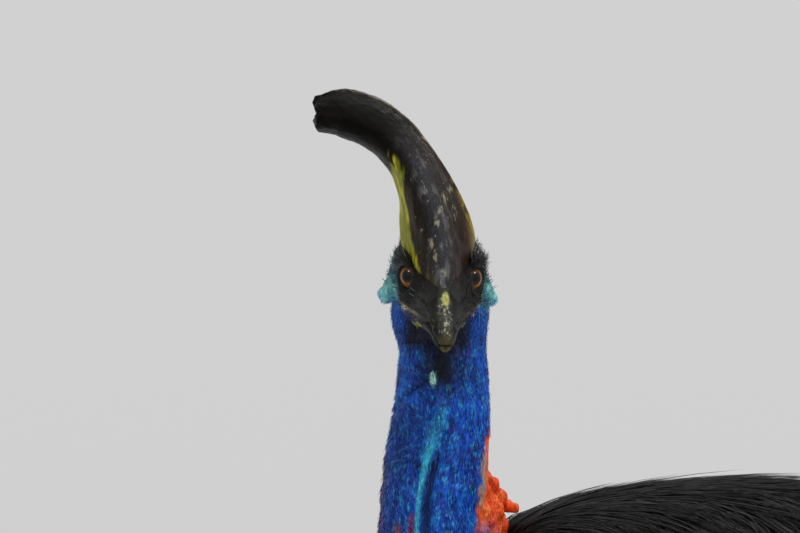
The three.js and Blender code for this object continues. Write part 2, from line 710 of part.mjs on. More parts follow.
const sides = ["left", "right"];
const legs = sides.map((which) => {
  const below = block(v(430, 0, FEATHER_LINE - 300), [900, 900, 600]);
  const lower = cutBy(joined([drumstick(which), shank(which)]), block(v(430, 0, FEATHER_LINE + 300 - GAP), [900, 900, 600]));
  const lowerClear = drumstick(which, GAP + 1).intersect(below);
  const thigh = cutBy(joined([cutBy(drumstick(which), below), ...drumstickLocks(which)]), lowerClear);
  return { thigh, lower, thighClear: joined([drumstick(which, 2 * GAP), ...drumstickLocks(which, 2 * GAP)]) };
});
const coat = cutBy(
  joined([trunk(CORE), ...coatLocks()]),
  neck(GAP),
  napeRidge(2.1, 0.045),
  ...sides.map((which) => wingStub(which, GAP)),
  ...sides.map((which) => wattle(which, GAP)),
  ...legs.map((leg) => leg.thighClear),
);
const front = (radius) => ball(v(TAIL_START - PARTING, 0, 730), [radius, radius, radius], new THREE.Matrix4(), 30);
add("torso", largest(coat.intersect(front(PARTING - GAP))), PLUME);
add("tail", largest(cutBy(coat, front(PARTING))), PLUME);

sides.forEach((which, i) => {
  add("wing_" + which, largest(wing(which)), PLUME);
  add("thigh_" + which, largest(legs[i].thigh), PLUME);
  add("shank_" + which, largest(cutBy(legs[i].lower, floorBlock)), SCALE);
  for (const name of Object.keys(TOES)) {
    const others = name === "middle" ? [] : [toe(which, "middle", GAP)];
    const body = cutBy(toe(which, name), shank(which, GAP), claw(which, name, GAP), floorBlock, ...others);
    add("toe_" + name + "_" + which, largest(body), SCALE);
    add("claw_" + name + "_" + which, largest(cutBy(claw(which, name), floorBlock)), CLAW);
  }
});

// Where two sheets of one solid only touch, each is drawn back a hair to its own side.
function drawnBack(points, corners) {
  const at = (i) => new THREE.Vector3().fromArray(points, 3 * i);
  const around = new Map();
  const spots = new Map();
  corners.forEach((corner, k) => {
    const first = k - (k % 3);
    const others = [corners[first + ((k + 1) % 3)], corners[first + ((k + 2) % 3)]];
    around.set(corner, [...(around.get(corner) ?? []), ...others]);
  });
  for (const corner of around.keys()) {
    const spot = at(corner).toArray().map((size) => size.toFixed(2)).join();
    spots.set(spot, [...(spots.get(spot) ?? []), corner]);
  }
  const moved = new Float32Array(points);
  for (const corner of [...spots.values()].filter((shared) => shared.length > 1).flat()) {
    const middle = around.get(corner).reduce((sum, i) => sum.add(at(i)), v(0, 0, 0)).divideScalar(around.get(corner).length);
    at(corner).addScaledVector(middle.sub(at(corner)).normalize(), TOUCH).toArray(moved, 3 * corner);
  }
  return moved;
}

// Each solid becomes a named mesh, and the whole bird is moved over the origin.
const cassowary = new THREE.Group();
for (const [name, [body, finish]] of parts) {
  const { vertProperties, triVerts } = body.getMesh();
  const geometry = new THREE.BufferGeometry();
  geometry.setAttribute("position", new THREE.BufferAttribute(drawnBack(vertProperties, triVerts), 3));
  geometry.setIndex(new THREE.BufferAttribute(new Uint32Array(triVerts), 1));
  geometry.computeVertexNormals();
  const [color, roughness] = finish;
  const mesh = new THREE.Mesh(geometry, new THREE.MeshStandardMaterial({ color, roughness, metalness: 0 }));
  mesh.name = name;
  cassowary.add(mesh);
}
const box = new THREE.Box3().setFromObject(cassowary);
cassowary.position.set(-Math.round((box.min.x + box.max.x) / 2), -Math.round((box.min.y + box.max.y) / 2), 0);

export default cassowary;
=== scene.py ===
import itertools
import math

import bmesh
import bpy
import numpy as np
from mathutils import Matrix, Vector


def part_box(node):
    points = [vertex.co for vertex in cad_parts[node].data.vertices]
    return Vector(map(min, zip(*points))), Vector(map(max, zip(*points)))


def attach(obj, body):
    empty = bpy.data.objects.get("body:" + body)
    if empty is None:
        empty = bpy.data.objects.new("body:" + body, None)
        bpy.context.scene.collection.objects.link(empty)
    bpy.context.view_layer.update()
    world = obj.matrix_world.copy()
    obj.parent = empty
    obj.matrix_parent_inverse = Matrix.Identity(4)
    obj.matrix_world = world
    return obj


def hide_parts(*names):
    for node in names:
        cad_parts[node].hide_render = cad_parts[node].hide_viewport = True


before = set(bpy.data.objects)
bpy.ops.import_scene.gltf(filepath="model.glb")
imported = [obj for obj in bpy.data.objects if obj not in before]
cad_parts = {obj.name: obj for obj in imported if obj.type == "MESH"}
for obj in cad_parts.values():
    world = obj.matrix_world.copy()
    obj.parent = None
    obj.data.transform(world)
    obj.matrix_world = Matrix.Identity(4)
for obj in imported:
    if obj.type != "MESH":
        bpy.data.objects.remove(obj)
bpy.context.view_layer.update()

# Shapes are made in millimetres, in the bird's own axes: it faces -X, its left side is towards -Y, and the
# floor is at z = 0. Each finished piece is then set in place in metres.
MM = 0.001
SEED = 41
ACROSS = np.array([0.0, 1.0, 0.0])
UP = np.array([0.0, 0.0, 1.0])
HANDS = {"left": -1, "right": 1}

# The head
EYES = np.array([26.3, -54.6, 1101.0])  # midway between the eyes
HEAD_TURN = math.radians(71.8)  # to the bird's left
HEAD_NOD = math.radians(17.5)  # bill below level
HEAD_TILT = math.radians(-2.0)
CASQUE_TILT = math.radians(3.5)
EYE_BALL = 12.5
EYE_OPENING = 9.1
EYE_PLACE = (9.0, 16.4, 5.0)  # forward, sideways, up
EYE_AHEAD = math.radians(46.0)  # between each line of sight and the bill
EYE_LIFT = 0.02
GAZE_AHEAD = EYE_AHEAD - 0.14  # the iris lies a little further ahead and up than the middle of the eye's seat
GAZE_LIFT = 0.19
CHEEK = (-24, 35.2, -20)  # forward, sideways, up
NOSTRIL = (87, 9.6, -4.8)
BILL_SCUFF = (71, 1.0, 8.6)
EAR = (-41, 36.5, -6)

# Skull sections: forward, half width, reach up, reach down
SKULL = [
    (-68, 9, 8, 10), (-60, 22, 17, 24), (-46, 33, 25, 35), (-30, 36.5, 29, 39), (-14, 35, 28, 39),
    (2, 31, 25, 37), (17, 28, 20, 34), (32, 21.5, 15.5, 30.5), (46, 16.5, 14, 27), (60, 11, 9, 20),
]
# Casque sections: left, up, forward, half thickness, reach ahead, reach behind, lift of the front in degrees
CASQUE = [
    (0, 4, -2, 19, 68, 46, -16), (-0.6, 25, -3, 25.4, 59, 49, -11), (-3.6, 41, -6, 24.2, 48, 46, -8),
    (-6.7, 55, -9, 21.2, 43, 42, -5), (-12.1, 69.2, -12, 18.6, 39, 38, -1),
    (-19.8, 84.7, -15, 16.6, 35, 34, 2), (-31.2, 99.1, -17, 16.6, 32, 31, 4),
    (-46.1, 110.4, -18, 17, 29, 28, 5), (-63.2, 116.9, -18, 16.6, 26, 25, 5),
    (-71.7, 117.9, -18, 15.2, 21, 20, 4), (-83, 117, -18, 12.6, 16, 15, 3),
]
# The painted sheen up the casque's front, a grey band of painted reflection: height, across the view
CASQUE_SHEEN = [(1080, 30), (1120, 30), (1144, 26.4), (1166, 19.2), (1180, 14.3), (1198, 2)]
# Pale scuffs on the casque: across the view, height, half width, half height
CASQUE_SCUFFS = [
    (27.5, 1149, 2.4, 3.4), (25.4, 1140, 2.4, 4.6), (21.5, 1127, 2, 9), (14.5, 1135.5, 1.5, 3),
    (24.5, 1117, 2, 6), (35, 1164, 2.4, 4), (30.5, 1105, 2.6, 4), (30, 1158, 3, 5), (37, 1148, 2, 7),
    (28, 1098, 3, 2.5),
]
# Marks on the face: across the view, height, half width, half height, colour
FACE_MARKS = [
    (2.1, 1081.2, 3.0, 1.3, "#c2b285"), (52.5, 1077, 2.4, 2.0, "#c09a8a"),
    (11.2, 1069.8, 3.4, 1.7, "#9a9a2c"), (44.5, 1069.6, 2.2, 1.6, "#8c8f2a"),
    (7.5, 1072, 1.8, 1.6, "#8d96a8"), (56.5, 1082.5, 4.2, 1.8, "#8a958c"),
]
# Bill sections: forward, half width, top, bottom
UPPER_BILL = [
    (40, 17, 16, -12), (46.4, 16, 15, -12), (60, 12.6, 10, -11.8), (76, 10.4, 5.6, -11.8),
    (92, 8.6, 1.6, -12), (104, 6.6, -2.6, -12.4), (110, 4.8, -6, -13), (113.6, 2.2, -9.6, -13.9),
]
LOWER_BILL = [
    (40, 16, -11.6, -27), (46.4, 14.8, -11.4, -25), (60, 11.6, -11.0, -22), (76, 9.4, -11.0, -19.6),
    (92, 7.4, -11.4, -18.2), (102, 5.6, -12.0, -17.8), (108.6, 3.2, -13, -17.6),
]
MOUTH_SHADOW = (31.6, 1056.2)  # a painted shadow, the dark line where the bill's halves meet at their tips: across the view, height

# Neck sections: middle x, y, z, half width, reach ahead, reach behind, heading in degrees
NECK = [
    (37, -21, 1104, 27, 26, 24, 71.8), (40, -17.6, 1079, 34.5, 30, 30, 66),
    (42.5, -16.5, 1051, 30.5, 34, 32, 58), (42.6, -15.8, 1012, 33, 35, 34.5, 36),
    (38.9, -11.3, 965, 34.5, 37, 39, 14), (37.5, -7.6, 920, 34, 38, 40.5, 4),
    (47, -3, 872, 40, 47, 45, 2), (74, 0, 822, 46, 52, 47, 0), (120, 0, 776, 50, 52, 50, 0),
]
NECK_RADIUS = 34
# The fold down the left of the throat: height, heading in degrees
FOLD = [(1030, 76), (1007, 70), (984, 61), (966, 57.5), (952, 55.5), (924, 54), (890, 47), (850, 38)]
CHIN_CREASE = [(1019, 4), (1030, 19)]  # height, across the view
CHIN_CREASE_HEIGHT = 1024.5
CHIN_SPOT = (23.2, 1031.5)  # across the view, height
WATTLE_LONG = 158
WATTLE_TOP = 892
NAPE_REACH = (0.47, 0.76)  # share of the neck's length
NAPE_BULBS = 150
# The larger lobes at the foot of the nape: height, distance out, radius, turn from straight behind in degrees
NAPE_LOBES = [
    (962, 5, 3.6, 6), (955, 7.5, 4.4, -8), (950, 10, 5, 4), (945, 13.5, 5.4, -5), (941, 17.5, 5, 7),
    (938.5, 21.5, 4.4, 0), (937, 25, 3.2, -4), (932.5, 16.5, 5.4, 12), (929.5, 20.5, 3.8, 8),
    (926, 12, 5.4, -10), (921, 15.5, 4.4, 2), (947, 4, 6, 18), (936, 7, 6.5, -16),
]

# Trunk sections: x, middle height, half width, reach up, reach down
TRUNK = [
    (4, 792, 16, 15, 20), (20, 793, 62, 58, 76), (52, 790, 104, 99, 122), (108, 782, 142, 146, 158),
    (210, 768, 168, 181, 192), (340, 752, 182, 197, 198), (480, 742, 176, 178, 182),
    (600, 732, 154, 144, 152), (700, 716, 118, 106, 112), (768, 694, 66, 64, 66), (792, 682, 18, 20, 22),
]
# Depth of the down between the back's skin and the coat's shape, and of the coat that stands over it:
# x, depth
BACK_DOWN = [(4, 0), (52, 4), (108, 9), (210, 24), (340, 29), (480, 18), (600, 9), (700, 4), (792, 0)]
CREST = [(40, 0), (90, 3), (150, 2), (220, 2), (300, 3), (480, 2), (620, 2), (720, 0)]
HEM = [(-60, 668), (60, 610), (200, 545), (360, 500), (560, 478), (760, 490), (900, 520)]  # x, height
NECK_FOOT = 58  # x, where the coat parts round the neck
NECK_HOLE = (54, 40, 37, 830)  # middle x, half length, half width and height of the place where no coat grows
ROOT_PATCH = 0.003  # size of each strand on the unwrap
STRIDES = (0.06, 0.16, 0.24, 0.27, 0.27)  # shares of a strand's length
COAT_BANDS = ("breast", "shoulder", "saddle", "flank", "loin", "rump")
CLUMP = 8  # strands in a clump
# Distance between clumps, extra clumps round the neck's foot, and numbers of strands on each thigh, of hairs
# on the neck and of bristles on the face
COAT_GAP, NECK_FOOT_CLUMPS, THIGH_STRANDS, NECK_HAIRS, BRISTLES = (
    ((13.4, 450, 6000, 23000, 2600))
)

# Legs, in their own plane: x, spread, z, half width, reach ahead, reach behind
HIP_SPREAD = 112
STRIDE = {"left": -32, "right": 30}
DRUMSTICK = [
    (284, 16, 690, 60, 80, 78), (304, 16, 650, 62, 78, 74), (338, 12, 588, 58, 70, 66),
    (385, 7, 506, 42, 51, 47), (425, 3, 436, 26, 31, 28), (452, 1, 384, 21, 25, 24),
]
SHANK = [
    (446, 1, 396, 21, 25, 24), (452, 1, 384, 21, 25, 24), (470, 0, 344, 24, 26, 31),
    (467, 0, 314, 23, 24, 29), (458, -1, 262, 18, 19, 21), (449, -2, 196, 17, 18, 19),
    (441, -3, 130, 18, 19, 20), (433, -4, 74, 22, 22, 22), (428, -4, 42, 27, 25, 27),
    (427, -4, 14, 24, 22, 24), (427, -4, 1, 20, 18, 20),
]
ANKLE = 427  # x, where the toes meet
FLOOR_GAP = 0.15
TOES = {  # length, half width, heading outwards in degrees, claw length, claw half width, claw drop
    "inner": (66, 15.5, -27, 104, 9.5, 8), "middle": (150, 18, 3, 40, 8, 7), "outer": (100, 15, 33, 30, 7, 6),
}
WING_ROOT = (194, 164, 836)
QUILLS = 5
QUILL_LONG = 250

CAMERA_AZIMUTH = math.radians(-20)
CAMERA_AWAY = 3200
CAMERA_AIM = (0, -45, 1110)
CAMERA_LENS = 205.7
CAMERA_SENSOR = 36

# Colours that more than one place shares
INK = "#0a0908"
PLUME = "#101011"
PALE_TEAL = "#7fc9c4"
VIOLET = "#5a3fb0"
PINK = "#c46a9a"
ORANGE = "#e0521c"
SCARLET = "#c42a14"
BLOOD = "#7c1812"


def colour(code):
    """A painter's hex code as linear light."""
    values = np.array([int(code[i:i + 2], 16) / 255 for i in (1, 3, 5)])
    return np.where(values <= 0.04045, values / 12.92, ((values + 0.055) / 1.055) ** 2.4)


def blend(a, b, share):
    return a + (b - a) * share


def smooth(x, low, high):
    share = np.clip((np.asarray(x, float) - low) / (high - low), 0, 1)
    return share * share * (3 - 2 * share)


def near(x, middle, width):
    """1 at the middle, falling away on both sides."""
    return np.exp(-(((x - middle) / width) ** 2))


def unit(vectors):
    return vectors / np.maximum(np.linalg.norm(vectors, axis=-1, keepdims=True), 1e-9)


def along_rows(rows, at):
    """Straight interpolation in a two-column table."""
    table = np.array(sorted(rows), float)
    return np.interp(at, table[:, 0], table[:, 1])


def between(rows):
    """Smooth values between the rows of a table, for t from 0 at the first row to 1 at the last."""
    table = np.array(rows, float)
    last = len(table) - 1

    def values(t):
        place = np.clip(np.asarray(t, float), 0, 1) * last
        i = np.minimum(np.floor(place).astype(int), last - 1)
        w = (place - i)[..., None]
        before, a, b, after = (table[np.clip(i + k, 0, last)] for k in (-1, 0, 1, 2))
        rise, fall = (b - before) / 2, (after - a) / 2
        return a + w * (rise + w * (3 * (b - a) - 2 * rise - fall + w * (2 * (a - b) + rise + fall)))

    return values


def lattice(cell, seed):
    """A fixed random number from -1 to 1 for each whole-number cell."""
    code = (seed + 7) * 40503
    for axis, prime in enumerate((73856093, 19349663, 83492791)):
        code = code ^ cell[..., axis] * prime
    code = ((code ^ (code >> 13)) * 1274126177) & 0x7FFFFFFF
    return ((code ^ (code >> 15)) & 0xFFFF) / 32767.5 - 1


def grain(points, size, seed=0):
    """Soft noise from -1 to 1, with grains of the given size."""
    scaled = points / np.asarray(size, float)
    cell = np.floor(scaled).astype(np.int64)
    part = scaled - cell
    part = part * part * (3 - 2 * part)
    total = 0
    for corner in itertools.product((0, 1), repeat=3):
        weight = np.prod(np.where(np.array(corner), part, 1 - part), axis=-1)
        total = total + weight * lattice(cell + np.array(corner), seed)
    return total


def cloud(points, size, seed=0):
    """Noise with finer grains on its coarse ones."""
    coarse, middling = grain(points, size, seed), grain(points, size / 2.1, seed + 1)
    return 0.6 * coarse + 0.3 * middling + 0.15 * grain(points, size / 4.3, seed + 2)


def stacked(*parts):
    """Columns of coordinates side by side, one row a point."""
    return np.stack(np.broadcast_arrays(*parts), -1)


def distance(points, place, stretch=1.0):
    """From each point to a place, in steps that may be longer along some axes."""
    return np.linalg.norm((points - place) / stretch, axis=1)


# Mesh helpers

def linked(name, mesh):
    piece = bpy.data.objects.new(name, mesh)
    bpy.context.scene.collection.objects.link(piece)
    return piece


def from_bmesh(name, bm):
    mesh = bpy.data.meshes.new(name)
    bm.to_mesh(mesh)
    bm.free()
    return linked(name, mesh)


def points_of(mesh):
    points = np.empty(len(mesh.vertices) * 3, np.float32)
    mesh.vertices.foreach_get("co", points)
    return points.reshape(-1, 3).astype(float)


def normals_of(mesh):
    normals = np.empty(len(mesh.vertices) * 3, np.float32)
    mesh.vertex_normals.foreach_get("vector", normals)
    return normals.reshape(-1, 3).astype(float)


def move_points(mesh, points):
    mesh.vertices.foreach_set("co", points.astype(np.float32).ravel())
    mesh.update()


def paint(mesh, name, values):
    """Stores one value or colour for each vertex."""
    if values.ndim == 1:
        mesh.attributes.new(name, "FLOAT", "POINT").data.foreach_set("value", values.astype(np.float32))
        return
    full = np.ones((len(values), 4), np.float32)
    full[:, :3] = values
    mesh.attributes.new(name, "FLOAT_COLOR", "POINT").data.foreach_set("color", full.ravel())


def layered(base, *layers):
    """Colours laid over a base, a code or shades already painted, each with its own share from 0 to 1."""
    shade = colour(base) if isinstance(base, str) else base
    for code, share in layers:
        shade = blend(shade, colour(code), np.clip(share, 0, 1)[:, None])
    return shade


CAPS = [(0.0, 1.0), (0.38, 0.92), (0.7, 0.71), (0.92, 0.38)]  # ring size and push of a domed end


def tube(name, around, along, place, shape=None, domes=(0, 0)):
    """A closed tube through the sections that place(t) gives, with domed ends of the given depths.
    Its vertices keep their t, and the sine and cosine of their place round the section."""
    rows = [(0.0, size, -push) for size, push in CAPS]
    rows += [(t, 1.0, 0.0) for t in np.linspace(0, 1, along + 1)]
    rows += [(1.0, size, push) for size, push in reversed(CAPS)]
    rows = np.array(rows)
    bm = bmesh.new()
    bmesh.ops.create_grid(bm, x_segments=around, y_segments=len(rows) - 1, size=0.5)
    flat = np.array([vert.co for vert in bm.verts])
    row = np.rint((flat[:, 1] + 0.5) * (len(rows) - 1)).astype(int)
    t, size, push = rows[row].T
    turn = 2 * math.pi * (flat[:, 0] + 0.5)
    a, b = np.sin(turn), np.cos(turn)
    centre, side, top, wide, high, low = place(t)
    end = place(np.clip(t + 0.01, 0, 1))[0] - place(np.clip(t - 0.01, 0, 1))[0]
    depth = np.where(push < 0, domes[0], domes[1]) * push
    sa, sb = shape(a, b, t) if shape else (a, b)
    reach = np.where(b > 0, high, low)
    made = centre + side * (sa * wide * size)[:, None] + top * (sb * reach * size)[:, None]
    made += unit(end) * depth[:, None]
    layers = [bm.verts.layers.float.new(word) for word in ("along", "sideways", "ahead")]
    for vert, point, values in zip(bm.verts, made, zip(t, a, b)):
        vert.co = point
        for layer, value in zip(layers, values):
            vert[layer] = value
    bmesh.ops.remove_doubles(bm, verts=bm.verts, dist=1e-4)
    bmesh.ops.recalc_face_normals(bm, faces=bm.faces)
    return from_bmesh(name, bm)


def kept(mesh, name):
    """The values that a tube's vertices keep."""
    values = np.empty(len(mesh.vertices), np.float32)
    mesh.attributes[name].data.foreach_get("value", values)
    return values.astype(float)


def ball(name, centre, sizes, axes=None, rounds=(20, 12)):
    """A ball stretched to three half sizes along three axes."""
    bm = bmesh.new()
    bmesh.ops.create_uvsphere(bm, u_segments=rounds[0], v_segments=rounds[1], radius=1)
    turn = Matrix.Identity(3) if axes is None else Matrix([list(a) for a in axes]).transposed()
    bm.transform(Matrix.Translation(Vector(centre)) @ turn.to_4x4() @ Matrix.Diagonal((*sizes, 1)))
    return from_bmesh(name, bm)


def joined(name, pieces):
    """Several pieces as one, in the given order."""
    bm = bmesh.new()
    for piece in pieces:
        bm.from_mesh(piece.data)
        bpy.data.objects.remove(piece)
    return from_bmesh(name, bm)


def fused(name, pieces, voxel):
    """Overlapping closed pieces as one smooth skin."""
    whole = joined(name, pieces)
    remesh = whole.modifiers.new("voxels", "REMESH")
    remesh.mode = "VOXEL"
    remesh.voxel_size = voxel
    remesh.use_smooth_shade = True
    relax = whole.modifiers.new("relax", "SMOOTH")
    relax.factor = 0.5
    relax.iterations = 3
    return applied(whole)


def applied(piece):
    """The piece with its modifiers made part of its mesh."""
    graph = bpy.context.evaluated_depsgraph_get()
    mesh = bpy.data.meshes.new_from_object(piece.evaluated_get(graph))
    piece.modifiers.clear()
    old = piece.data
    piece.data = mesh
    bpy.data.meshes.remove(old)
    return piece


def polygons(name, points, faces):
    """A mesh from an array of points and rows of corners, three or four a face; -1 leaves the fourth out."""
    mesh = bpy.data.meshes.new(name)
    mesh.vertices.add(len(points))
    mesh.vertices.foreach_set("co", points.astype(np.float32).ravel())
    counts = (faces >= 0).sum(axis=1)
    corners = faces[faces >= 0]
    mesh.loops.add(len(corners))
    mesh.loops.foreach_set("vertex_index", corners.astype(np.int32))
    mesh.polygons.add(len(faces))
    mesh.polygons.foreach_set("loop_start", np.concatenate([[0], np.cumsum(counts)[:-1]]).astype(np.int32))
    mesh.update(calc_edges=True)
    return mesh


def in_place(piece, finish, slot, replaced=()):
    """Sets a finished piece where the frame's bird stands, in metres, with its material."""
    points = points_of(piece.data)
    move_points(piece.data, (points + HOME) * MM)
    piece.data.polygons.foreach_set("use_smooth", [True] * len(piece.data.polygons))
    piece.data.materials.clear()
    for material in finish if isinstance(finish, (list, tuple)) else [finish]:
        piece.data.materials.append(material)
    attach(piece, "root")
    if replaced:
        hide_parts(*replaced)
    return piece


# The head's own frame: forward along the bill, left, and up

def head_frame():
    ahead = Vector((-math.cos(HEAD_TURN), -math.sin(HEAD_TURN), 0))
    left = Vector((math.sin(HEAD_TURN), -math.cos(HEAD_TURN), 0))
    bill = ahead * math.cos(HEAD_NOD) + Vector((0, 0, -math.sin(HEAD_NOD)))
    left.rotate(Matrix.Rotation(HEAD_TILT, 3, bill))
    return np.array([bill, left, bill.cross(left)])


HEAD = head_frame()
CASQUE_FRAME = np.array([
    HEAD[0],
    math.cos(CASQUE_TILT) * HEAD[1] + math.sin(CASQUE_TILT) * HEAD[2],
    math.cos(CASQUE_TILT) * HEAD[2] - math.sin(CASQUE_TILT) * HEAD[1],
])


def in_head(*parts):
    """Places given forward, left and up from the point between the eyes, in the bird's axes."""
    return EYES + stacked(*parts) @ HEAD


def to_head(points):
    """The other way: places in the bird's axes, forward, left and up from the point between the eyes."""
    return (points - EYES) @ HEAD.T


def mirrored(place, hand):
    """A place in the head on the left side, or on the right one for a hand of -1."""
    return place * np.array([1, hand, 1])


def eye_line(hand):
    """The centre of the eye on one side, and its line of sight."""
    forward, left, up = EYE_PLACE
    sight = np.array([math.cos(EYE_AHEAD), hand * math.sin(EYE_AHEAD), EYE_LIFT]) @ HEAD
    return in_head(forward, hand * left, up), unit(sight)


def gaze(hand):
    """Where the iris points."""
    return unit(np.array([math.cos(GAZE_AHEAD), hand * math.sin(GAZE_AHEAD), GAZE_LIFT]) @ HEAD)


def eye_axes(sight):
    """Across an eye, up it and along its line of sight."""
    across = unit(np.cross(HEAD[2], sight))
    return [across, np.cross(sight, across), sight]


HOME = np.mean(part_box("eye_left"), axis=0) / MM - eye_line(1)[0]  # from the bird's own axes to the frame


def head_section(rows):
    values = between(rows)

    def place(t):
        forward, wide, high, low = values(t).T
        return in_head(forward, 0, 0), HEAD[1], HEAD[2], wide, high, low

    return place


def bill_section(rows):
    values = between(rows)

    def place(t):
        forward, wide, top, bottom = values(t).T
        half = (top - bottom) / 2
        return in_head(forward, 0, bottom + half), HEAD[1], HEAD[2], wide, half, half

    return place


def casque_section(t):
    values = between(CASQUE)
    left, up, forward, wide, high, low, lift = values(t).T
    before, after = values(np.clip(t - 0.03, 0, 1)), values(np.clip(t + 0.03, 0, 1))
    lean = np.arctan2(after[:, 0] - before[:, 0], after[:, 1] - before[:, 1])
    side = stacked(0, np.cos(lean), -np.sin(lean)) @ CASQUE_FRAME
    rise = np.sin(np.radians(lift))
    top = stacked(np.cos(np.radians(lift)), np.sin(lean) * rise, np.cos(lean) * rise) @ CASQUE_FRAME
    return EYES + stacked(forward, left, up) @ CASQUE_FRAME, side, top, wide, high, low


NECK_ROWS = between(NECK)
NECK_STEPS = NECK_ROWS(np.linspace(0, 1, 200))
NECK_STEPS = NECK_STEPS[np.argsort(NECK_STEPS[:, 2])]


def neck_at(height):
    """The values of a neck section at given heights."""
    return [np.interp(height, NECK_STEPS[:, 2], NECK_STEPS[:, k]) for k in range(7)]


def neck_section(t):
    x, y, z, wide, high, low, turn = NECK_ROWS(t).T
    ahead = stacked(-np.cos(np.radians(turn)), -np.sin(np.radians(turn)), 0)
    along = unit((NECK_ROWS(np.clip(t + 0.02, 0, 1)) - NECK_ROWS(np.clip(t - 0.02, 0, 1)))[:, :3])
    top = unit(ahead - along * (ahead * along).sum(-1, keepdims=True))
    return stacked(x, y, z), np.cross(along, top), top, wide, high, low


def leg_section(rows, which):
    values = between(rows)

    def place(t):
        x, spread, z, wide, high, low = values(t).T
        step = values(np.clip(t + 0.02, 0, 1)) - values(np.clip(t - 0.02, 0, 1))
        along = unit(stacked(step[:, 0], 0, step[:, 2]))
        top = stacked(along[:, 2], 0, -along[:, 0])
        top = np.where(top[:, :1] > 0, -top, top)
        stride = STRIDE[which] * (1 - smooth(z, 40, 660))
        centre = stacked(x + stride, HANDS[which] * (HIP_SPREAD + spread), z)
        return centre, ACROSS, top, wide, high, low

    return place


def toe_section(which, name):
    hand = HANDS[which]
    long, half, out = TOES[name][:3]
    out = math.radians(out)
    heading = np.array([-math.cos(out), hand * math.sin(out), 0])
    side = np.array([-heading[1], heading[0], 0])
    root = np.array([ANKLE + STRIDE[which], hand * (HIP_SPREAD - 4), 0])

    def place(t):
        close = np.sqrt(np.maximum(0.12, 1 - (np.maximum(0, t - 0.8) / 0.2) ** 2))
        wide = half * (1 - 0.34 * t) * (1 + 0.07 * np.cos(t * math.pi * 6)) * close
        z = blend(22, 12.5, smooth(t, 0, 0.8)) - 1.5 * (1 - close)
        centre = root + heading * blend(6, long + 6, t)[:, None] + UP * z[:, None]
        return centre, side, UP, wide, wide * 0.98, np.minimum(wide * 1.1, z - 0.2)

    return place


def claw_section(which, name):
    *_, long, half, drop = TOES[name]
    toe = toe_section(which, name)
    end, middle = toe(np.array([1.0, 0.5]))[0]
    heading = unit((end - middle) * [1, 1, 0])
    start = end - heading * 9
    side = np.array([-heading[1], heading[0], 0])

    def place(t):
        size = half * (1 - 0.93 * t ** 1.35) + 0.3
        centre = start + heading * (t * (long + 9))[:, None]
        centre[:, 2] = 14 - drop * t * t + 2.5 * np.sin(math.pi * t)
        return centre, side, UP, size * 0.86, size, size

    return place


def wattle_section(which):
    hand = HANDS[which]

    def place(t):
        fall = t ** 0.9
        x = blend(4, -37, smooth(t, 0, 0.42)) + 5 * smooth(t, 0.6, 1)
        y = hand * blend(11, 22, smooth(t, 0, 0.5))
        body = np.sin(math.pi * np.minimum(1, 0.28 + 0.72 * t ** 0.8))
        fold = 1 + 0.09 * np.sin(t * 24 + hand)
        root = 1 - smooth(t, 0.05, 0.42)
        side = unit(np.array([0.25 * hand, 1, 0]))
        top = unit(np.array([-1, 0.25 * hand, 0]))
        wide, deep = (4 + 15 * body) * fold * (1 - 0.35 * root), 2.5 + 5 * body * fold + 7 * root
        return stacked(x, y, WATTLE_TOP - WATTLE_LONG * fall), side, top, wide, deep, deep

    return place


def nape_growth(share):
    """How far the nape's growths stand out of the neck, down its length."""
    return 4.6 + 10.5 * smooth(share, 0.16, 0.6) - 4 * smooth(share, 0.75, 1)


# The trunk under the coat

TRUNK_STEPS = between(TRUNK)(np.linspace(0, 1, 161))


def trunk_at(x):
    """Middle height, half width, reach up and reach down of the trunk."""
    return [np.interp(x, TRUNK_STEPS[:, 0], TRUNK_STEPS[:, k]) for k in range(1, 5)]


def outness(points):
    """How far out points lie: 1 on the trunk's surface."""
    middle, wide, high, low = trunk_at(points[..., 0])
    up = points[..., 2] - middle
    return np.hypot(points[..., 1] / wide, up / np.where(up > 0, high, low))


def outwards(points):
    """Directions straight out of the trunk."""
    step = 4.0
    slope = []
    for axis in np.eye(3) * step:
        slope.append(outness(points + axis) - outness(points - axis))
    return unit(np.stack(slope, -1))


def trunk_section(t):
    x, z, wide, high, low = between(TRUNK)(t).T
    high = high - along_rows(BACK_DOWN, x)
    return stacked(x, 0, z), ACROSS, UP, wide, high, low


def settle(points, lift):
    """Brings points that have sunk into the trunk out to the given height over it, ahead of the breast or
    straight out from the middle, whichever is nearer."""
    middle, wide = trunk_at(points[:, 0])[:2]
    now = outness(points)
    target = 1 + lift / wide
    inside = (now < target) & (points[:, 0] > TRUNK[0][0]) & (points[:, 0] < TRUNK[-1][0])
    steps = np.arange(0, 120, 4.0)
    ahead = points[:, None, :] - steps[None, :, None] * np.array([1.0, 0, 0])
    clear = (outness(ahead) >= 1) | (ahead[:, :, 0] <= TRUNK[0][0])
    forward = steps[np.argmax(clear, axis=1)] + 400.0 * ~clear.any(axis=1) + lift
    radial = (target / np.maximum(now, 1e-3) - 1) * np.hypot(points[:, 1], points[:, 2] - middle)
    use_ahead = inside & (forward < radial)
    use_out = inside & ~use_ahead
    points[use_ahead, 0] -= forward[use_ahead]
    scale = (target / np.maximum(now, 1e-3))[use_out]
    points[use_out, 1] *= scale
    points[use_out, 2] = middle[use_out] + (points[use_out, 2] - middle[use_out]) * scale


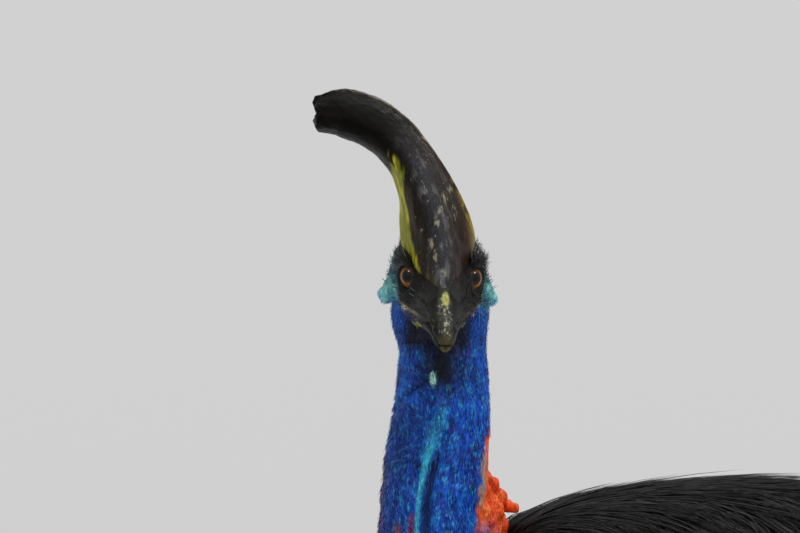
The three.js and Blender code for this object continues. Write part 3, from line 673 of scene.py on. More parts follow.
def drape(x, angle, long, sway, lift, strides=STRIDES):
    """Lines that start on the trunk, lie away from the neck, then back and down, and hang free past its
    widest place."""
    middle, wide, high, low = trunk_at(x)
    reach = np.where(np.cos(angle) > 0, high, low) - 6
    point = stacked(x, np.sin(angle) * (wide - 6), middle + np.cos(angle) * reach)
    off_ridge = smooth(np.abs(angle), 0.05, 0.4)
    hand = np.clip((angle + 0.4 * sway) / 0.12, -1, 1)
    lift = lift * blend(0.2, 1, off_ridge)
    line = [point.copy()]
    gone = 0
    for stride in strides:
        around = np.abs(np.arctan2(point[:, 1], point[:, 2] - trunk_at(point[:, 0])[0]))
        fall = smooth(around, 0.06, 0.95)
        chest = 1 - smooth(point[:, 0], 20, 150)
        rump = smooth(point[:, 0], 560, 780)
        back = blend(1, 0.34, np.maximum(fall, chest)) * blend(1, 0.4, rump)
        down = blend(0.12, 1, np.maximum(fall, np.maximum(0.8 * chest, 0.9 * rump)))
        shed = 1.5 * hand * (1 - smooth(around, 0.6, 1.3)) * smooth(point[:, 0], 60, 130)
        shed = shed * (1 - smooth(point[:, 0], 520, 700)) * blend(0.4, 1, off_ridge)
        side = sway + shed * np.cos(around)
        way = unit(stacked(back, side, -down - 1.2 * np.abs(shed) * np.sin(around)))
        away = point - [NECK_FOOT, 0, 0]
        away[:, 2] = 0
        close = (1 - smooth(np.linalg.norm(away, axis=1), 62, 125)) * smooth(point[:, 2], 760, 830)
        from_neck = unit(unit(away) + stacked(0, sway, -0.45))
        way = unit(blend(way, from_neck, close[:, None]))
        point = point + way * (long * stride)[:, None]
        loose = blend(4, 21, smooth(around, 0.8, 1.3))
        around = np.abs(np.arctan2(point[:, 1], point[:, 2] - trunk_at(point[:, 0])[0]))
        crest = along_rows(CREST, point[:, 0]) * (1 - smooth(around, 0.45, 1.25))
        crest = crest * (0.6 + 0.16 * lift) * off_ridge
        gone += stride
        settle(point, blend(0.5, loose, smooth(gone, 0, 0.8)) + (lift + crest) * smooth(gone, 0, 0.35))
        line.append(point.copy())
    line = np.stack(line, 1)
    for _ in range(2):
        line[:, 1:-1] = (line[:, :-2] + 2 * line[:, 1:-1] + line[:, 2:]) / 4
    return line


def strands(name, lines, half, thick, outer, tint, roots):
    """Thin tapered blades along lines, each a closed three-sided sliver that ends in a point. The roots are
    their places on an unwrap of the skin."""
    count, steps = lines.shape[:2]
    way = unit(np.gradient(lines, axis=1))
    side = unit(np.cross(way, outer))
    up = np.cross(side, way)
    t = np.linspace(0, 1, steps)[None, :, None]
    taper = (1 - 0.75 * t ** 1.6) * (0.55 + 0.45 * smooth(t, 0, 0.25))
    width = half[:, None, None] * taper
    rise = thick[:, None, None] * taper
    rings = np.stack([lines - side * width, lines + up * rise, lines + side * width], 2)[:, :-1]
    body = 3 * (steps - 1)
    points = np.concatenate([rings.reshape(count, body, 3), lines[:, -1:]], 1)
    faces = [[2, 1, 0, -1]]
    for i, k in itertools.product(range(steps - 2), range(3)):
        a, b = 3 * i + k, 3 * i + (k + 1) % 3
        faces.append([a, b, b + 3, a + 3])
    last = 3 * (steps - 2)
    faces += [[last + k, last + (k + 1) % 3, body, -1] for k in range(3)]
    faces = np.array(faces)
    base = (np.arange(count) * (body + 1))[:, None, None]
    corners = np.where(faces[None] >= 0, faces[None] + base, -1).reshape(-1, 4)
    mesh = polygons(name, points.reshape(-1, 3), corners)
    along = np.append(np.repeat(np.linspace(0, 1, steps)[:-1], 3), 1.0)
    paint(mesh, "tint", np.repeat(tint, body + 1, axis=0))
    paint(mesh, "tip", np.tile(along, count))
    across = np.append(np.tile([0.0, 0.5, 1.0], steps - 1), 0.5)
    spots = (roots[:, None, :] + stacked(across, along) * ROOT_PATCH).reshape(-1, 2)
    unwrap = mesh.uv_layers.new(name="OFBake")
    unwrap.data.foreach_set("uv", spots[corners[corners >= 0]].astype(np.float32).ravel())
    return linked(name, mesh)


# Materials

def fresh(name):
    material = bpy.data.materials.new(name)
    material.use_nodes = True
    tree = material.node_tree
    shader = tree.nodes["Principled BSDF"]
    return material, tree, shader


def feed(tree, socket, value):
    """Links a shader output to a socket, or sets the socket's own value."""
    if isinstance(value, bpy.types.NodeSocket):
        tree.links.new(value, socket)
    else:
        socket.default_value = value


def node(tree, kind, settings=(), **inputs):
    """A shader node. Its inputs are named by their words, or by their place as i0 and i1."""
    made = tree.nodes.new(kind)
    for word, value in dict(settings).items():
        setattr(made, word, value)
    for word, value in inputs.items():
        by_place = word[0] == "i" and word[1:].isdigit()
        feed(tree, made.inputs[int(word[1:]) if by_place else word.replace("_", " ")], value)
    return made


def object_place(tree, centre=None, axes=None):
    """Coordinates in millimetres: the object's own, or from a centre in the bird's axes along three axes."""
    where = node(tree, "ShaderNodeTexCoord").outputs["Object"]
    mapped = node(tree, "ShaderNodeMapping", {"vector_type": "TEXTURE"}, Vector=where)
    if axes is not None:
        mapped.inputs["Location"].default_value = (centre + HOME) * MM
        turn = Matrix([list(axis) for axis in axes]).transposed()
        mapped.inputs["Rotation"].default_value = turn.to_euler()
    mapped.inputs["Scale"].default_value = (MM, MM, MM)
    return mapped.outputs["Vector"]


def noise(tree, where, scale, detail=4, rough=0.55):
    made = node(tree, "ShaderNodeTexNoise", Vector=where, Scale=scale, Detail=detail, Roughness=rough)
    return made.outputs["Fac"]


def cells(tree, where, feature, scale, **inputs):
    made = node(tree, "ShaderNodeTexVoronoi", {"feature": feature}, Vector=where, Scale=scale, **inputs)
    return made.outputs[0]


def vector(tree, operation, where, **inputs):
    return node(tree, "ShaderNodeVectorMath", {"operation": operation}, i0=where, **inputs).outputs


def stretched(tree, where, x, y, z):
    return vector(tree, "MULTIPLY", where, i1=(x, y, z))["Vector"]


def worked(tree, operation, a, b):
    return node(tree, "ShaderNodeMath", {"operation": operation}, i0=a, i1=b).outputs[0]


def times(tree, a, b):
    return worked(tree, "MULTIPLY", a, b)


def plus(tree, a, b):
    return worked(tree, "ADD", a, b)


def ramp(tree, value, *stops):
    """Grey levels or colours between the given places of a value."""
    made = node(tree, "ShaderNodeValToRGB", Fac=value)
    elements = made.color_ramp.elements
    while len(elements) < len(stops):
        elements.new(0.5)
    for element, (place, shade) in zip(elements, stops):
        element.position = place
        level = colour(shade) if isinstance(shade, str) else [shade] * 3
        element.color = (*level, 1)
    return made.outputs["Color"]


def mixed(tree, share, a, b, way="MIX"):
    made = node(tree, "ShaderNodeMix", {"data_type": "RGBA", "blend_type": way})
    feed(tree, made.inputs[0], share)
    for index, shade in ((6, a), (7, b)):
        feed(tree, made.inputs[index], (*colour(shade), 1) if isinstance(shade, str) else shade)
    return made.outputs[2]


def bumped(tree, shader, height, depth, strength):
    """Gives a surface the relief of a height map, with its depth in millimetres."""
    bump = node(tree, "ShaderNodeBump", Strength=strength, Distance=depth * MM, Height=height)
    tree.links.new(bump.outputs["Normal"], shader.inputs["Normal"])


def attribute(tree, name, output="Color"):
    return node(tree, "ShaderNodeAttribute", {"attribute_name": name}).outputs[output]


def skin_finish():
    """Bare skin: pebbled, with fine creases, a little moist, and the painted markings, painted shadows and
    highlights among them.
    """
    material, tree, shader = fresh("bare_skin")
    where = object_place(tree)
    down = stretched(tree, where, 1, 1, 0.34)
    pebbles = cells(tree, down, "SMOOTH_F1", 0.62, Smoothness=0.5)
    fine = noise(tree, down, 1.6, 3)
    broad = noise(tree, where, 0.16, 4)
    tint = attribute(tree, "tint")
    flecks = ramp(tree, noise(tree, down, 0.85, 3, 0.6), (0.38, 0.42), (0.5, 0.9), (0.64, 1.7))
    toned = mixed(tree, 0.75, tint, flecks, "MULTIPLY")
    aged = mixed(tree, 0.35, toned, ramp(tree, broad, (0.35, 0.7), (0.65, 1.25)), "MULTIPLY")
    tree.links.new(aged, shader.inputs["Base Color"])
    tree.links.new(ramp(tree, fine, (0.3, 0.4), (0.7, 0.62)), shader.inputs["Roughness"])
    bumped(tree, shader, plus(tree, times(tree, pebbles, 0.8), fine), 0.9, 0.75)
    shader.inputs["Specular IOR Level"].default_value = 0.22
    return material


def scale_finish():
    """Leg scales: small rounded plates with dark seams, and dusty wear on what stands proud."""
    material, tree, shader = fresh("leg_scales")
    where = object_place(tree)
    squat = stretched(tree, where, 1, 1, 0.8)
    plates = cells(tree, squat, "DISTANCE_TO_EDGE", 0.22)
    broad = attribute(tree, "scute", "Fac")
    seam = mixed(tree, broad, ramp(tree, plates, (0.0, 0.0), (0.16, 1.0)), "#ffffff")
    dust = noise(tree, where, 0.12, 5)
    hide = ramp(tree, dust, (0.3, "#45423a"), (0.5, "#524e43"), (0.72, "#67614f"))
    worn = mixed(tree, 0.55, hide, attribute(tree, "tint"), "MULTIPLY")
    between_plates = ramp(tree, plates, (0.0, 0.65), (0.14, 0.0))
    gaps = times(tree, between_plates, worked(tree, "SUBTRACT", 1.0, broad))
    tree.links.new(mixed(tree, gaps, worn, "#1d1a14"), shader.inputs["Base Color"])
    tree.links.new(ramp(tree, dust, (0.3, 0.5), (0.7, 0.72)), shader.inputs["Roughness"])
    bumped(tree, shader, plus(tree, seam, times(tree, noise(tree, where, 0.9, 3), 0.5)), 0.7, 0.8)
    return material


def horn_finish(name, roughness, scratch, streak):
    """Polished, scuffed horn with painted shades, painted sheen, highlight and shade among them, growth
    streaks and pale scratches.
    """
    material, tree, shader = fresh(name)
    where = object_place(tree, EYES, CASQUE_FRAME)
    streaks = noise(tree, stretched(tree, where, *streak), 1.0, 5, 0.62)
    scuffs = noise(tree, stretched(tree, where, 1.0, 1.0, 0.5), 0.42, 5, 0.75)
    pits = cells(tree, where, "F1", 0.35)
    tint = attribute(tree, "tint")
    toned = mixed(tree, 0.7, tint, ramp(tree, streaks, (0.3, 0.4), (0.5, 0.95), (0.7, 1.7)), "MULTIPLY")
    bare = times(tree, ramp(tree, scuffs, (0.61, 0.0), (0.68, 1.0)), attribute(tree, "wear", "Fac"))
    worn = mixed(tree, times(tree, bare, scratch), toned, "#a8a48e")
    tree.links.new(worn, shader.inputs["Base Color"])
    gloss = plus(tree, roughness - 0.1, times(tree, scuffs, 0.3))
    tree.links.new(gloss, shader.inputs["Roughness"])
    pitted = times(tree, ramp(tree, pits, (0.0, 0.0), (0.35, 1.0)), 0.35)
    bumped(tree, shader, plus(tree, streaks, pitted), 0.8, 0.6)
    shader.inputs["Specular IOR Level"].default_value = 0.05
    return material


def eye_finish(hand):
    """An amber iris round a dark pupil, under a wet clear surface, with painted shade from the lid over its
    top.
    """
    material, tree, shader = fresh("eye_left_iris" if hand > 0 else "eye_right_iris")
    where = object_place(tree, eye_line(hand)[0], eye_axes(gaze(hand)))
    split = node(tree, "ShaderNodeSeparateXYZ", Vector=where).outputs
    flat = stretched(tree, where, 1, 1, 0)
    out = vector(tree, "LENGTH", flat)["Value"]
    spokes = noise(tree, vector(tree, "NORMALIZE", flat)["Vector"], 9, 3)
    wobble = plus(tree, out, times(tree, worked(tree, "SUBTRACT", spokes, 0.5), 0.9))
    share = worked(tree, "DIVIDE", wobble, 10)
    iris = ramp(
        tree, share, (0.0, "#010101"), (0.36, "#020101"), (0.41, "#3a1e08"), (0.5, "#8a541a"),
        (0.64, "#a8702a"), (0.78, "#744314"), (0.87, "#1c0e06"), (1.0, "#0a0705"),
    )
    ahead = ramp(tree, worked(tree, "DIVIDE", split[2], 10), (0.45, 0.0), (0.55, 1.0))
    streaked = mixed(tree, 0.6, iris, ramp(tree, spokes, (0.35, 0.5), (0.65, 1.05)), "MULTIPLY")
    # Painted shade: the iris darkens towards its top, under the lid
    height = plus(tree, 0.5, worked(tree, "DIVIDE", split[1], 20))
    streaked = mixed(tree, 0.7, streaked, ramp(tree, height, (0.35, 1.0), (0.75, 0.3)), "MULTIPLY")
    tree.links.new(mixed(tree, ahead, "#0a0706", streaked), shader.inputs["Base Color"])
    values = [
        ("Roughness", 0.3), ("Specular IOR Level", 0.05), ("Coat Weight", 0.5), ("Coat Roughness", 0.02),
        ("Coat IOR", 1.4),
    ]
    for word, value in values:
        shader.inputs[word].default_value = value
    return material


def plume_finish(name, roughness, tips):
    """Glossy hair-like plumes, paler and browner towards their tips."""
    material, tree, shader = fresh(name)
    where = object_place(tree)
    tint = attribute(tree, "tint")
    faded = mixed(tree, times(tree, attribute(tree, "tip", "Fac"), tips), tint, "#2a2520")
    shades = ramp(tree, noise(tree, where, 0.35, 3), (0.3, 0.6), (0.7, 1.5))
    varied = mixed(tree, 0.6, faded, shades, "MULTIPLY")
    tree.links.new(varied, shader.inputs["Base Color"])
    rough = ramp(tree, noise(tree, where, 0.2, 2), (0.3, roughness - 0.06), (0.7, roughness + 0.08))
    tree.links.new(rough, shader.inputs["Roughness"])
    shader.inputs["Specular IOR Level"].default_value = 0.24
    return material


def floor_finish():
    material, tree, shader = fresh("studio_floor")
    shade = ramp(tree, noise(tree, object_place(tree), 0.004, 3), (0.3, 0.88), (0.7, 0.91))
    tree.links.new(shade, shader.inputs["Base Color"])
    shader.inputs["Roughness"].default_value = 0.7
    return material


# The skin

def head_pieces():
    pieces = [tube("skull", 60, 46, head_section(SKULL), domes=(6, 6))]
    for hand in (-1, 1):
        centre, sight = eye_line(hand)
        lumps = [
            ("brow", (3, 23.5, 16.5), (17, 7.5, 5.5)), ("cheek", CHEEK, (9, 7.5, 6.2)),
            ("cheek", (-18, 34, -10), (12, 6, 9)), ("ear", (-41, 33, -6), (7.5, 4, 8)),
        ]
        for name, (forward, sideways, up), sizes in lumps:
            pieces.append(ball(name, in_head(forward, hand * sideways, up), sizes, HEAD))
        pieces.append(ball("lid_bed", centre + sight * 4.2, (12.6, 12.2, 9.5), eye_axes(sight)))
    return pieces


def nape_pieces():
    low, high = NAPE_REACH
    rng = np.random.default_rng(SEED + 1)

    def ridge(t):
        centre, side, top, _, _, reach = neck_section(blend(low, high, t))
        size = nape_growth(t) * 0.62
        return centre - top * reach[:, None], side, top, size * 2.3, size, size

    pieces = [tube("nape_ridge", 24, 24, ridge, domes=(3, 3))]
    share = rng.random(NAPE_BULBS) ** 0.85
    centre, side, top, wide, _, reach = neck_section(blend(low, high, share))
    angle = rng.normal(0, 0.36, NAPE_BULBS) * blend(0.5, 1, smooth(share, 0, 0.5))
    size = rng.uniform(2.2, 4.6, NAPE_BULBS) * blend(0.7, 1, smooth(share, 0.1, 0.5))
    out = nape_growth(share) * np.exp(-((angle / 0.5) ** 2)) * rng.uniform(0.45, 0.95, NAPE_BULBS)
    place = centre - top * (np.cos(angle) * (reach + out))[:, None]
    place = place + side * (np.sin(angle) * (wide + out))[:, None]
    place[:, 2] += rng.normal(0, 2, NAPE_BULBS)
    low_lobes, low_sizes = nape_lobes()
    place, size = np.concatenate([place, low_lobes]), np.concatenate([size, low_sizes])
    for spot, radius in zip(place, size):
        pieces.append(ball("bulb", spot, (radius, radius, radius * 1.2), rounds=(10, 7)))
    return pieces


def nape_lobes():
    """Centres and radii of the larger hanging lobes."""
    height, away, radius, turn = np.array(NAPE_LOBES).T
    x, y, _, _, _, reach, heading = neck_at(height)
    turn = np.radians(heading + 180 + turn)
    out = reach + away
    return stacked(x - np.cos(turn) * out, y - np.sin(turn) * out, height), radius


def neck_heading(points):
    """The heading of points round the neck, in degrees from straight ahead towards the bird's left."""
    x, y = neck_at(points[:, 2])[:2]
    return np.degrees(np.arctan2(-(points[:, 1] - y), -(points[:, 0] - x)))


def seen_across(points):
    """How far right of the bird's middle points lie, seen from its left front, where the camera stands."""
    return points[:, 0] * math.cos(CAMERA_AZIMUTH) + (points[:, 1] - CAMERA_AIM[1]) * math.sin(CAMERA_AZIMUTH)


def from_eye(points, hand):
    """Distance of points from an eye's line of sight, and their depth along it."""
    centre, sight = eye_line(hand)
    away = points - centre
    depth = away @ sight
    return np.linalg.norm(away - depth[:, None] * sight, axis=1), depth


def to_line(h, a, b):
    """Distance of head-frame points from the straight line between two places."""
    a, b = np.array(a, float), np.array(b, float)
    share = np.clip(((h - a) @ (b - a)) / ((b - a) @ (b - a)), 0, 1)
    return np.linalg.norm(h - a - share[:, None] * (b - a), axis=1)


def fold_distance(points, heading):
    """How far round the neck points lie from the fold of the throat."""
    return np.radians(heading - along_rows(FOLD, points[:, 2])) * NECK_RADIUS


def chin_marks(points, heading):
    """Where the throat shows from the left front, and distances from the chin's crease and its pale spot."""
    across, z = seen_across(points), points[:, 2]
    shown = smooth(np.cos(np.radians(heading - 70)), 0.1, 0.5)
    crease = np.abs(across - along_rows(CHIN_CREASE, z)) * 0.62
    crease = crease + 8 * smooth(np.abs(z - CHIN_CREASE_HEIGHT), 5, 8)
    return shown, crease, np.hypot(across - CHIN_SPOT[0], (z - CHIN_SPOT[1]) * 0.5)


def head_masks(points):
    """Shares of the head's and neck's regions, from 0 to 1."""
    h = to_head(points)
    heading = neck_heading(points)
    low = smooth(-points[:, 2], -1066, -1040)
    neck = np.maximum(low, smooth(-h[:, 0], 38, 62) * smooth(-h[:, 2], -6, 18))
    return h, heading, neck


def sculpt_head(mesh):
    points, normals = points_of(mesh), normals_of(mesh)
    h, heading, neck = head_masks(points)
    z = points[:, 2]
    face = 1 - neck
    lift = 0.22 * grain(points, 2.6, 3) * face + 0.45 * grain(points, 7, 4) * face
    # Throat and nape: short ridges that run down the neck, and soft rolls across it
    down = points * [1, 1, 0.3]
    lift += neck * (0.42 * grain(down, 2.7, 5) + 0.5 * grain(down, 6.5, 6))
    rolls = np.sin(z / 4.3 + 2.2 * grain(points, 26, 7))
    lift += neck * 0.5 * rolls * smooth(grain(points, 30, 8), -0.1, 0.5)
    off = fold_distance(points, heading)
    on_neck = smooth(-z, -1030, -1000) * smooth(z, 858, 900)
    thin = blend(4.6, 2.7, smooth(-z, -1000, -968))
    lift += on_neck * (3.4 * near(off, 0, thin) - 1.7 * near(off, 6.5, 3.4) + 1.0 * near(off, -11, 6))
    ripple = smooth(z, 955, 975) * smooth(-z, -1022, -1008) * smooth(-off, 2, 12)
    lift += 0.8 * ripple * np.sin(z / 1.5 + 5 * grain(points, 11, 10))
    shown, crease, spot = chin_marks(points, heading)
    lift += shown * (0.9 * near(crease, 3.0, 1.4) - 1.5 * near(crease, 0, 1.3))
    lift += shown * 1.7 * near(spot, 0, 2.0)
    for hand in (-1, 1):
        ring, depth = from_eye(points, hand)
        front = smooth(depth, 0, 4)
        lift += front * 0.55 * np.cos(ring * 2.1 + 1.4 * grain(points, 8, 9)) * near(ring, 14.5, 4.2)
        lift += front * (0.8 * near(ring, 10.4, 1.6) - 1.0 * near(ring, 12.6, 1.5))
        # The corner of the mouth: a groove between two soft lips
        gape = to_line(h, (58, hand * 13.5, -12.2), (12, hand * 30, -13.5))
        lift += 1.1 * near(gape, 3.2, 1.8) - 2.2 * near(gape, 0, 1.3)
        # The ear, a small hollow behind the cheek
        hole = distance(h, mirrored(EAR, hand), [1, 1.6, 1.25])
        lift -= 4.5 * near(hole, 0, 3.4) - 0.8 * near(hole, 6, 1.8)
        # Lores: a shallow hollow between eye and bill
        lift -= 1.8 * near(distance(h, [34, hand * 20, 2], [1.5, 1, 1]), 0, 6.5)
    points += normals * lift[:, None]
    temple = smooth(h[:, 2], -15, -5) * smooth(-h[:, 0], -3, 10) * smooth(np.abs(h[:, 1]), 14, 26) * face
    points -= (3.2 * temple * np.sign(h[:, 1]))[:, None] * HEAD[1]
    # The lids' openings: skin inside them sinks to just under the eyeball
    for hand in (-1, 1):
        ring, depth = from_eye(points, hand)
        seat = np.sqrt(np.maximum(EYE_BALL ** 2 - ring ** 2, 0)) - 1.2
        hole = (ring < EYE_OPENING) & (depth > 0)
        sink = np.where(hole, np.maximum(depth - seat, 0), 0)
        points -= sink[:, None] * eye_line(hand)[1]
    move_points(mesh, points)


def face_shades(points, h, blotch, speck, fine, rough_edge):
    """A dark, bristly face between teal cheeks, with the neck's blue under the jaw."""
    side = np.abs(h[:, 1])
    teal = smooth(side + rough_edge, 24.5, 30.5) * smooth(rough_edge - h[:, 2], -12, -2)
    teal = teal * smooth(rough_edge - h[:, 0], -14, 0)
    deep = smooth(-h[:, 2], 15, 25) * smooth(side, 17, 29)
    # Under the jaw: the throat's dark skin, deepened by painted shadow from the bill
    throat = smooth(-h[:, 2], 16, 26) * (1 - smooth(side, 15, 27)) * smooth(h[:, 0], -22, 0)
    shade = layered(
        "#0c0a08",
        ("#14110a", 0.6 * smooth(blotch, -0.1, 0.4) * smooth(h[:, 0], 0, 20)),
        ("#2a6f80", teal),
        ("#0d2f45", 0.75 * teal * smooth(speck, 0.05, 0.6)),
        ("#86c6bf", 0.55 * teal * smooth(-fine, 0.15, 0.7)),
        ("#0d4bb0", 0.95 * deep),
        ("#082a70", 0.7 * deep * smooth(speck, -0.1, 0.5)),
        ("#0a3a94", smooth(-h[:, 0], 44, 58) * smooth(rough_edge - h[:, 2], -8, 6)),
        ("#050b26", throat),
    )
    for hand in (-1, 1):
        ring, depth = from_eye(points, hand)
        cheek = near(distance(h, [-22, hand * 40, -19]), 0, 10)
        strip = near(to_line(h, (0, hand * 32, 13), (-10, hand * 36, -9)), 0, 5)
        gape = to_line(h, (46, hand * 17, -14), (14, hand * 30, -15))
        pale = near(gape, 1.9, 0.8) * smooth(h[:, 2], -15, -12) * smooth(grain(points, 9, 25), -0.3, 0.3)
        shade = layered(
            shade,
            ("#0b0f12", 0.9 * smooth(depth, 0, 3) * smooth(-ring, -13.5, -10)),
            (PALE_TEAL, 0.9 * np.clip(cheek * (1 + 0.6 * speck), 0, 1)),
            ("#6aa79f", 0.8 * strip * (1 + 0.5 * speck)),
            ("#cfc79a", 0.45 * pale),
        )
    return shade


def neck_shades(points, heading, blotch, speck, fine):
    """A mottled blue neck: its fold, with painted highlight and shade, the throat darkened by painted shadow,
    with its spot, red patches and the nape's violet rim.
    """
    z = points[:, 2]
    off = fold_distance(points, heading)
    shown, crease, spot = chin_marks(points, heading)
    dots = grain(points * [1, 1, 0.62], 1.45, 24)
    on_neck = smooth(-z, -1022, -996) * smooth(z, 850, 890)
    strong = smooth(-z, -995, -958)
    # The fold's ridge: pale turquoise skin with a painted highlight on its lit edge
    ridge = near(off, -0.4, blend(4.2, 1.5, strong)) * blend(0.45, 0.9, strong) * (0.85 + 0.6 * speck)
    red_patch = smooth(-z, -962, -930) * near(off, -4.6, 2.2) * smooth(grain(points, 7, 26), -0.3, 0.2)
    rust = near(np.hypot(heading - 30, (z - 925) * 1.3), 0, 4.5)
    nape_rim = smooth(-z, -988, -955) * near(heading, -21, 17)
    return layered(
        "#0a52c2",
        ("#0a3596", 0.85 * smooth(blotch, -0.15, 0.4)),
        ("#062a63", 0.6 * smooth(-speck, 0.1, 0.6)),
        ("#1b78c8", 0.7 * smooth(speck, 0.2, 0.65)),
        (VIOLET, 0.4 * smooth(-fine, 0.3, 0.8) * smooth(grain(points, 20, 23), -0.3, 0.3)),
        ("#35a8dc", 0.85 * smooth(dots, 0.42, 0.7)),
        ("#04194a", 0.7 * smooth(-dots, 0.42, 0.7)),
        ("#3fc6d8", on_neck * ridge),
        # painted shadow in the groove beside the fold
        ("#03103a", 0.9 * on_neck * strong * near(off, 5.0, 3.2)),
        # painted shade on the side of the neck left of the fold, turned away from the light
        ("#06205e", 0.5 * on_neck * smooth(-off, 3, 16) * smooth(-off, -46, -34)),
        (BLOOD, 0.9 * red_patch),
        ("#8a4a18", 0.9 * rust),
        ("#4a2456", 0.85 * nape_rim),
        (PINK, 0.75 * nape_rim * smooth(grain(points, 3.6, 27), 0, 0.5)),
        # Painted shadow under the chin and bill, where the throat shows from the left front
        ("#020410", shown * smooth(z, 1008, 1036) * near(seen_across(points), 29, 20)),
        # painted shade in the chin's crease
        ("#03081d", 0.8 * shown * near(crease, 0, 1.6)),
        ("#a4d8c4", shown * smooth(-spot, -2.9, -1.9)),
    )


def head_shades(mesh):
    """The markings of face, neck, nape and wattles, with painted shadows and highlights among them."""
    points = points_of(mesh)
    h, heading, neck = head_masks(points)
    z = points[:, 2]
    blotch = cloud(points, 14, 20)
    speck = grain(points * [1, 1, 0.4], 3.1, 21)
    fine = grain(points * [1, 1, 0.45], 1.8, 22)
    rough_edge = 5 * grain(points, 7, 29)
    face = face_shades(points, h, blotch, speck, fine, rough_edge)
    blue = neck_shades(points, heading, blotch, speck, fine)
    shade = blend(face, blue, smooth(neck, 0.25, 0.75)[:, None])
    for x, height, wide, tall, tone in FACE_MARKS:
        spot = np.hypot((seen_across(points) - x) / wide, (z - height) / tall) + 0.5 * speck
        shade = layered(shade, (tone, 0.9 * smooth(-spot, -1.1, -0.7) * smooth(h[:, 0], 0, 8)))
    ahead = smooth(rough_edge - points[:, 0], -10, 4)
    ahead = ahead * smooth(-z + 1.5 * rough_edge - 0.4 * np.abs(points[:, 1]), -905, -884)
    wattle = layered(
        SCARLET,
        ("#d65a4a", 0.6 * smooth(blotch, 0, 0.5)),
        (BLOOD, 0.5 * smooth(-blotch, 0, 0.5)),
        (PINK, 0.4 * smooth(grain(points, 5, 28), 0.1, 0.6)),
    )
    shade = blend(shade, wattle, smooth(ahead, 0.2, 0.7)[:, None])
    behind = smooth(np.abs(heading) + 1.8 * rough_edge - 8 * smooth(z, 950, 1000), 132, 142)
    on_nape = behind * smooth(z, 868, 885) * smooth(-z + 2 * rough_edge, -1004, -994)
    nape = layered(
        ORANGE,
        (SCARLET, 0.7 * smooth(blotch, -0.1, 0.4)),
        ("#f08a3c", 0.5 * smooth(speck, 0.2, 0.7)),
        ("#8c9484", 0.9 * near(np.abs(heading), 141, 8) * smooth(-z, -985, -970) * smooth(z, 935, 948)),
        ("#6d5f86", 0.75 * smooth(-z, -934, -922) * near(np.abs(heading), 146, 12)),
    )
    return blend(shade, nape, on_nape[:, None])


def head_and_neck():
    pieces = head_pieces() + nape_pieces()
    pieces.append(tube("neck", 72, 110, neck_section, domes=(6, 0)))
    pieces += [tube("wattle", 30, 40, wattle_section(which), domes=(0, 3)) for which in HANDS]
    shell = fused("head_skin", pieces, 1.75)
    sculpt_head(shell.data)
    paint(shell.data, "tint", head_shades(shell.data))
    return shell


def under_feathers(section):
    """The same sections, thinner by the depth of the feathers that cover them."""
    def place(t):
        centre, side, top, wide, high, low = section(t)
        deep = blend(17, 0, smooth(t, 0.45, 0.88))
        return centre, side, top, wide - deep, high - deep, low - deep

    return place


def leg_skin():
    pieces = []
    for which in HANDS:
        drum = tube("drumstick", 30, 26, under_feathers(leg_section(DRUMSTICK, which)), domes=(0, 0))
        pieces += [drum, tube("shank", 36, 80, leg_section(SHANK, which), domes=(0, 1))]
        pieces += [tube("toe", 28, 40, toe_section(which, name), domes=(6, 4)) for name in TOES]
    shell = fused("leg_skin", pieces, 4.1)
    sculpt_legs(shell.data)
    return shell


def sculpt_legs(mesh):
    """Broad plates down the front of each shank and along the toes, and small ones elsewhere."""
    points = points_of(mesh)
    normals = normals_of(mesh)
    z = points[:, 2]
    lift = 0.5 * grain(points, 6, 31)
    shank = smooth(z, 40, 62) * smooth(-z, -400, -372)
    front = smooth(-normals[:, 0], 0.15, 0.6)
    tall = blend(11, 15, smooth(z, 60, 300))
    step = (z / tall + 0.25 * grain(points * [0.2, 1, 0.02], 14, 32)) % 1
    lift += shank * front * (2.3 * (1 - step) * smooth(step, 0, 0.12) - 0.3)
    behind = smooth(normals[:, 0], 0.35, 0.8)
    back_plate = ((z + 5) / 19) % 1
    lift += shank * (1 - front) * behind * 0.9 * (1 - back_plate) * smooth(back_plate, 0, 0.12)
    seam = shank * front * (1 - smooth(step, 0.02, 0.2))
    on_toes = 0
    for which, hand in HANDS.items():
        root = np.array([ANKLE + STRIDE[which], hand * (HIP_SPREAD - 4)])
        for long, half, out, *_ in TOES.values():
            out = math.radians(out)
            heading = np.array([-math.cos(out), hand * math.sin(out)])
            away = points[:, :2] - root
            forward = away @ heading
            across = away @ np.array([-heading[1], heading[0]])
            on_toe = smooth(forward, 24, 34) * smooth(-forward, -long, 12 - long)
            on_top = on_toe * (np.abs(across) < half + 3) * (z < 44) * smooth(normals[:, 2], 0.1, 0.5)
            toe_step = (forward / 9) % 1
            lift += on_top * 1.8 * (1 - toe_step) * smooth(toe_step, 0, 0.12)
            seam = np.maximum(seam, on_top * (1 - smooth(toe_step, 0.02, 0.24)))
            on_toes = np.maximum(on_toes, on_top)
    points += normals * lift[:, None] * smooth(z, 3, 9)[:, None]
    points[:, 2] = np.maximum(points[:, 2], FLOOR_GAP)
    move_points(mesh, points)
    paint(mesh, "scute", np.clip(shank * front + on_toes, 0, 1))
    tone = 1.0 + 0.25 * cloud(points, 40, 33) - 0.65 * seam
    warm = np.array([1.0, 0.96, 0.86])
    upper = smooth(z, 330, 420)[:, None]
    paint(mesh, "tint", np.clip(tone, 0.3, 1.4)[:, None] * blend(warm, np.array([0.45, 0.5, 0.6]), upper))


def trunk_skin():
    shell = tube("trunk_skin", 56, 60, trunk_section, domes=(4, 4))
    paint(shell.data, "tint", layered("#0c0e14", (INK, np.full(len(shell.data.vertices), 0.5))))
    return shell


